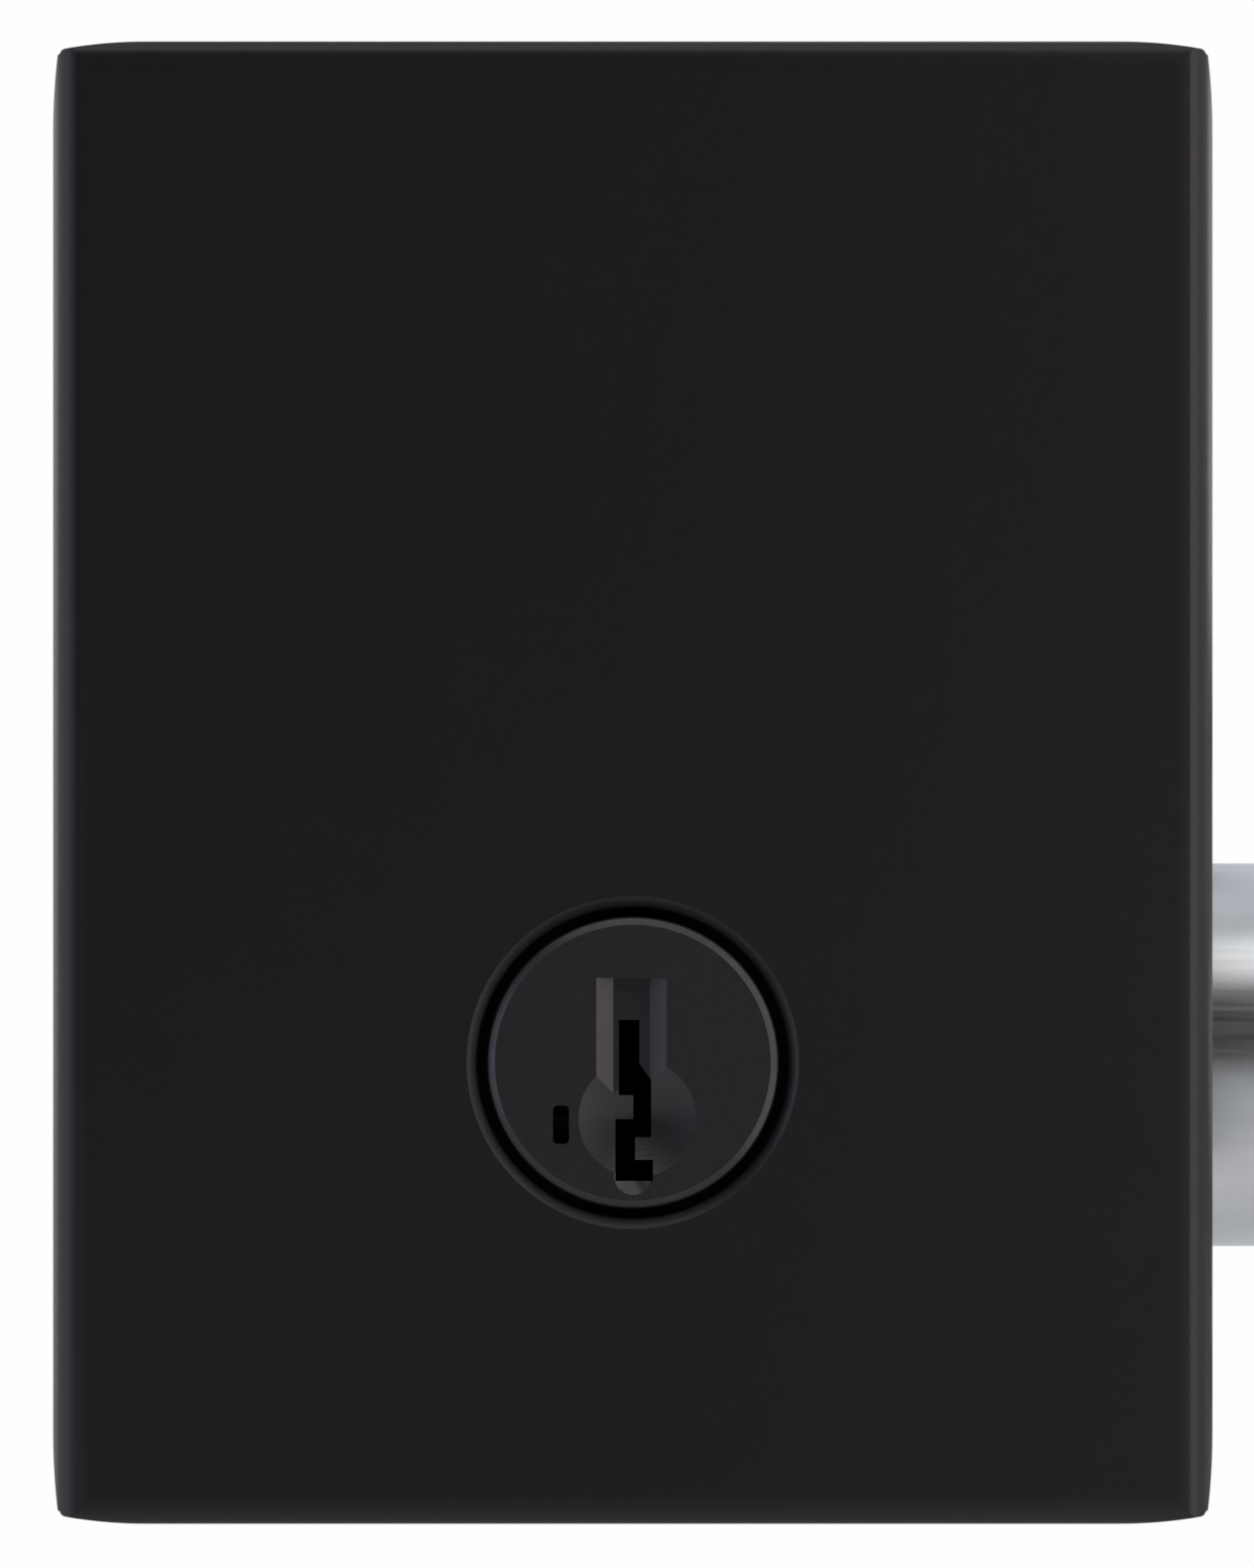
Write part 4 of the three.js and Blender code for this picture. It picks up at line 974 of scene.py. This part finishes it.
def grubScrew(node, finish, body, socket):
    # a set screw along Z whose hexagon socket looks down
    low, high = inMillimetres(node)
    x, y, _ = middleOf(node)
    radius = (high[0] - low[0]) / 2
    points = [(0, low[2]), (radius - 0.3, low[2])]
    points += threadRings(radius, low[2] + 0.3, high[2] - 0.4, 0.6, 0.22)
    points += [(radius - 0.5, high[2]), (0, high[2])]
    piece = newObject(pieceName(node), spinProfile(points, (x, y, 0), "Z", 40))
    hexagon = arcPoints(x, y, socket, 0, 300, 5)
    carve(piece, [prismMesh(hexagon, low[2] - through, low[2] + 1.4, "Z")])
    return finishPiece(piece, finishes[finish], body, [node], edge=0.03, angle=28)


insideRose()
bushingPiece()
shaftPiece()
thumbturnPiece()
insidePlate()
for end in ("upper", "lower"):
    throughBoltPiece(f"through_bolt_{end}")
retainingClip("thumbturn_clip", 5.4, 7, "turn")
retainingClip("plug_clip", 6.5, 8.6, "plug")
grubScrew("thumbturn_screw", "zincPlate", "turn", 0.65)
grubScrew("rose_screw", "blackPaint", "root", 0.8)
print("inside half made")


# springs that the tuning pins press up
pinSpring = {
    "wire": 0.18,              # radius, in mm
    "turns": 3, "steps": 24,   # steps to a turn
    "sides": 12,
}


def pinSpringPiece(number):
    # a helix of drawn wire, swept in one spin that rises as it turns
    node = f"pin_spring_{number}"
    low, high = inMillimetres(node)
    wire = pinSpring["wire"]
    steps = pinSpring["turns"] * pinSpring["steps"]
    height = high[2] - low[2]
    bm = bmesh.new()
    bmesh.ops.create_circle(bm, segments=pinSpring["sides"], radius=wire * mm)
    bmesh.ops.rotate(bm, verts=bm.verts, cent=(0, 0, 0), matrix=Matrix.Rotation(math.pi / 2, 3, "X"))
    bmesh.ops.translate(bm, verts=bm.verts, vec=Vector(((high[0] - low[0]) / 2 - wire, 0, wire)) * mm)
    bmesh.ops.spin(
        bm, geom=bm.verts[:] + bm.edges[:], cent=(0, 0, 0), axis=(0, 0, 1),
        dvec=(0, 0, (height - 2 * wire) / steps * mm), angle=2 * math.pi * pinSpring["turns"], steps=steps)
    bmesh.ops.holes_fill(bm, edges=[edge for edge in bm.edges if edge.is_boundary], sides=0)
    middle = middleOf(node)
    bmesh.ops.translate(bm, verts=bm.verts, vec=Vector((middle[0], middle[1], low[2])) * mm)
    tidyNormals(bm)
    piece = newObject(f"pin_spring_coil_{number}", bm)
    finishPiece(piece, finishes["springWire"], "plug", [node], edge=0.03)
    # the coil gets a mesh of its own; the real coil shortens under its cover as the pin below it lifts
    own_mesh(piece)


for number in range(1, 6):
    pinSpringPiece(number)
print("pin springs made")


# what the frame already shows, with worked edges
frameFinishes = {
    "zincPlate": ["spring_cover", "torque_blade", "bolt_tail", "bolt_rivet"],
    "springWire": ["sidebar_spring_front", "sidebar_spring_rear"],
    "hardened": ["guard_pin_left", "guard_pin_right", "anti_saw_pin_upper", "anti_saw_pin_lower"],
    # pins, racks and their carrier take the darkened brass that paints the shade inside the keyway
    "keywayShadeBrass": [f"{kind}_{i}" for kind in ("pin", "rack") for i in range(1, 6)] + ["rack_carrier"],
    "brass": ["sidebar"],
}


def dressNode(node, finish):
    piece = frame["nodes"][node]
    piece.data.materials.clear()
    piece.data.materials.append(finishes[finish])
    weld = piece.modifiers.new("weld", "WELD")
    weld.merge_threshold = 0.002 * mm
    if "spring" not in node:
        softenEdges(piece, 0.08)


for finish, nodes in frameFinishes.items():
    for node in nodes:
        dressNode(node, finish)
print("frame pieces dressed")


# camera, light and floor
studio = {
    "view": (77.71, 97.14),       # field at the cover's face, in mm
    "aim": (-0.36, 17.26),        # x and z that the picture is centred on, in mm
    "distance": 1.2,
    "floorDrop": 0.09,
    "dark": 0.01, "bright": 0.9,    # surroundings in front of the lock and beside or behind it
    "floorSize": 1.1,
    "middle": (0.01, 0.02, 0.017),  # what the lamps look at
    "lamps": {                      # place, size, watts and colour
        "leftPanel": ((-0.36, -0.09, 0.04), (0.1, 0.34), 0.29, "#dfeaff"),
        "rightPanel": ((0.105, -0.055, 0.03), (0.03, 0.22), 0.085, "#fff0ea"),
        "topPanel": ((0.0, -0.25, 0.5), (0.6, 0.3), 1.1, "#ffffff"),
        "backLeft": ((-0.6, 0.6, 0.35), (0.8, 0.8), 2.0, "#ffffff"),
        "backRight": ((0.6, 0.7, 0.3), (0.8, 0.8), 2.0, "#ffffff"),
    },
}


def makeCamera():
    data = bpy.data.cameras.new("camera")
    camera = bpy.data.objects.new("camera", data)
    bpy.context.scene.collection.objects.link(camera)
    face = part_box("exterior_cover")[0].y
    data.lens = data.sensor_width * studio["distance"] / (studio["view"][1] * mm)
    camera.location = (studio["aim"][0] * mm, face - studio["distance"], studio["aim"][1] * mm)
    camera.rotation_euler = (math.pi / 2, 0, 0)
    data.clip_start, data.clip_end = 0.01, 50
    bpy.context.scene.camera = camera


def areaLight(name, place, size, watts, colour):
    data = bpy.data.lights.new(name, "AREA")
    data.shape = "RECTANGLE"
    data.size, data.size_y = size
    data.energy = watts
    data.color = linearColour(colour)[:3]
    lamp = bpy.data.objects.new(name, data)
    lamp.location = place
    lamp.rotation_euler = (Vector(studio["middle"]) - Vector(place)).to_track_quat("-Z", "Y").to_euler()
    lamp.visible_camera = False
    bpy.context.scene.collection.objects.link(lamp)


def makeSurroundings():
    world = bpy.data.worlds.new("studio")
    bpy.context.scene.world = world
    world.use_nodes = True
    tree = world.node_tree
    tree.nodes.clear()
    # a dark room in front of the lock and a white one beside and behind it
    direction = addNode(tree, "ShaderNodeTexCoord").outputs["Generated"]
    depth = addNode(tree, "ShaderNodeSeparateXYZ", {"Vector": direction}).outputs["Y"]
    ramp = addNode(tree, "ShaderNodeMapRange", {
        "Value": depth, "From Min": -0.45, "From Max": 0.15,
        "To Min": studio["dark"], "To Max": studio["bright"]}, interpolation_type="SMOOTHSTEP")
    dim = addNode(tree, "ShaderNodeBackground", {
        "Color": linearColour("#f4f8ff"), "Strength": ramp.outputs["Result"]})
    white = addNode(tree, "ShaderNodeBackground", {"Color": (1, 1, 1, 1), "Strength": 0.99})
    seen = addNode(tree, "ShaderNodeLightPath").outputs["Is Camera Ray"]
    both = addNode(tree, "ShaderNodeMixShader", {"Fac": seen})
    tree.links.new(dim.outputs["Background"], both.inputs[1])
    tree.links.new(white.outputs["Background"], both.inputs[2])
    addNode(tree, "ShaderNodeOutputWorld", {"Surface": both.outputs["Shader"]})


def makeFloor():
    pale = startMaterial("paleFloor", {"Base Color": linearColour("#e9e9e8"), "Roughness": 0.8})[0]
    bm = bmesh.new()
    bmesh.ops.create_grid(bm, x_segments=1, y_segments=1, size=studio["floorSize"])
    bmesh.ops.translate(bm, vec=(0, 0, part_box("exterior_cover")[0].z - studio["floorDrop"]), verts=bm.verts)
    floor = newObject("floor", bm)
    floor.data.materials.append(pale)


makeCamera()
makeSurroundings()
makeFloor()
for name, lamp in studio["lamps"].items():
    areaLight(name, *lamp)
bpy.context.scene.view_settings.view_transform = "Standard"
print("studio made")
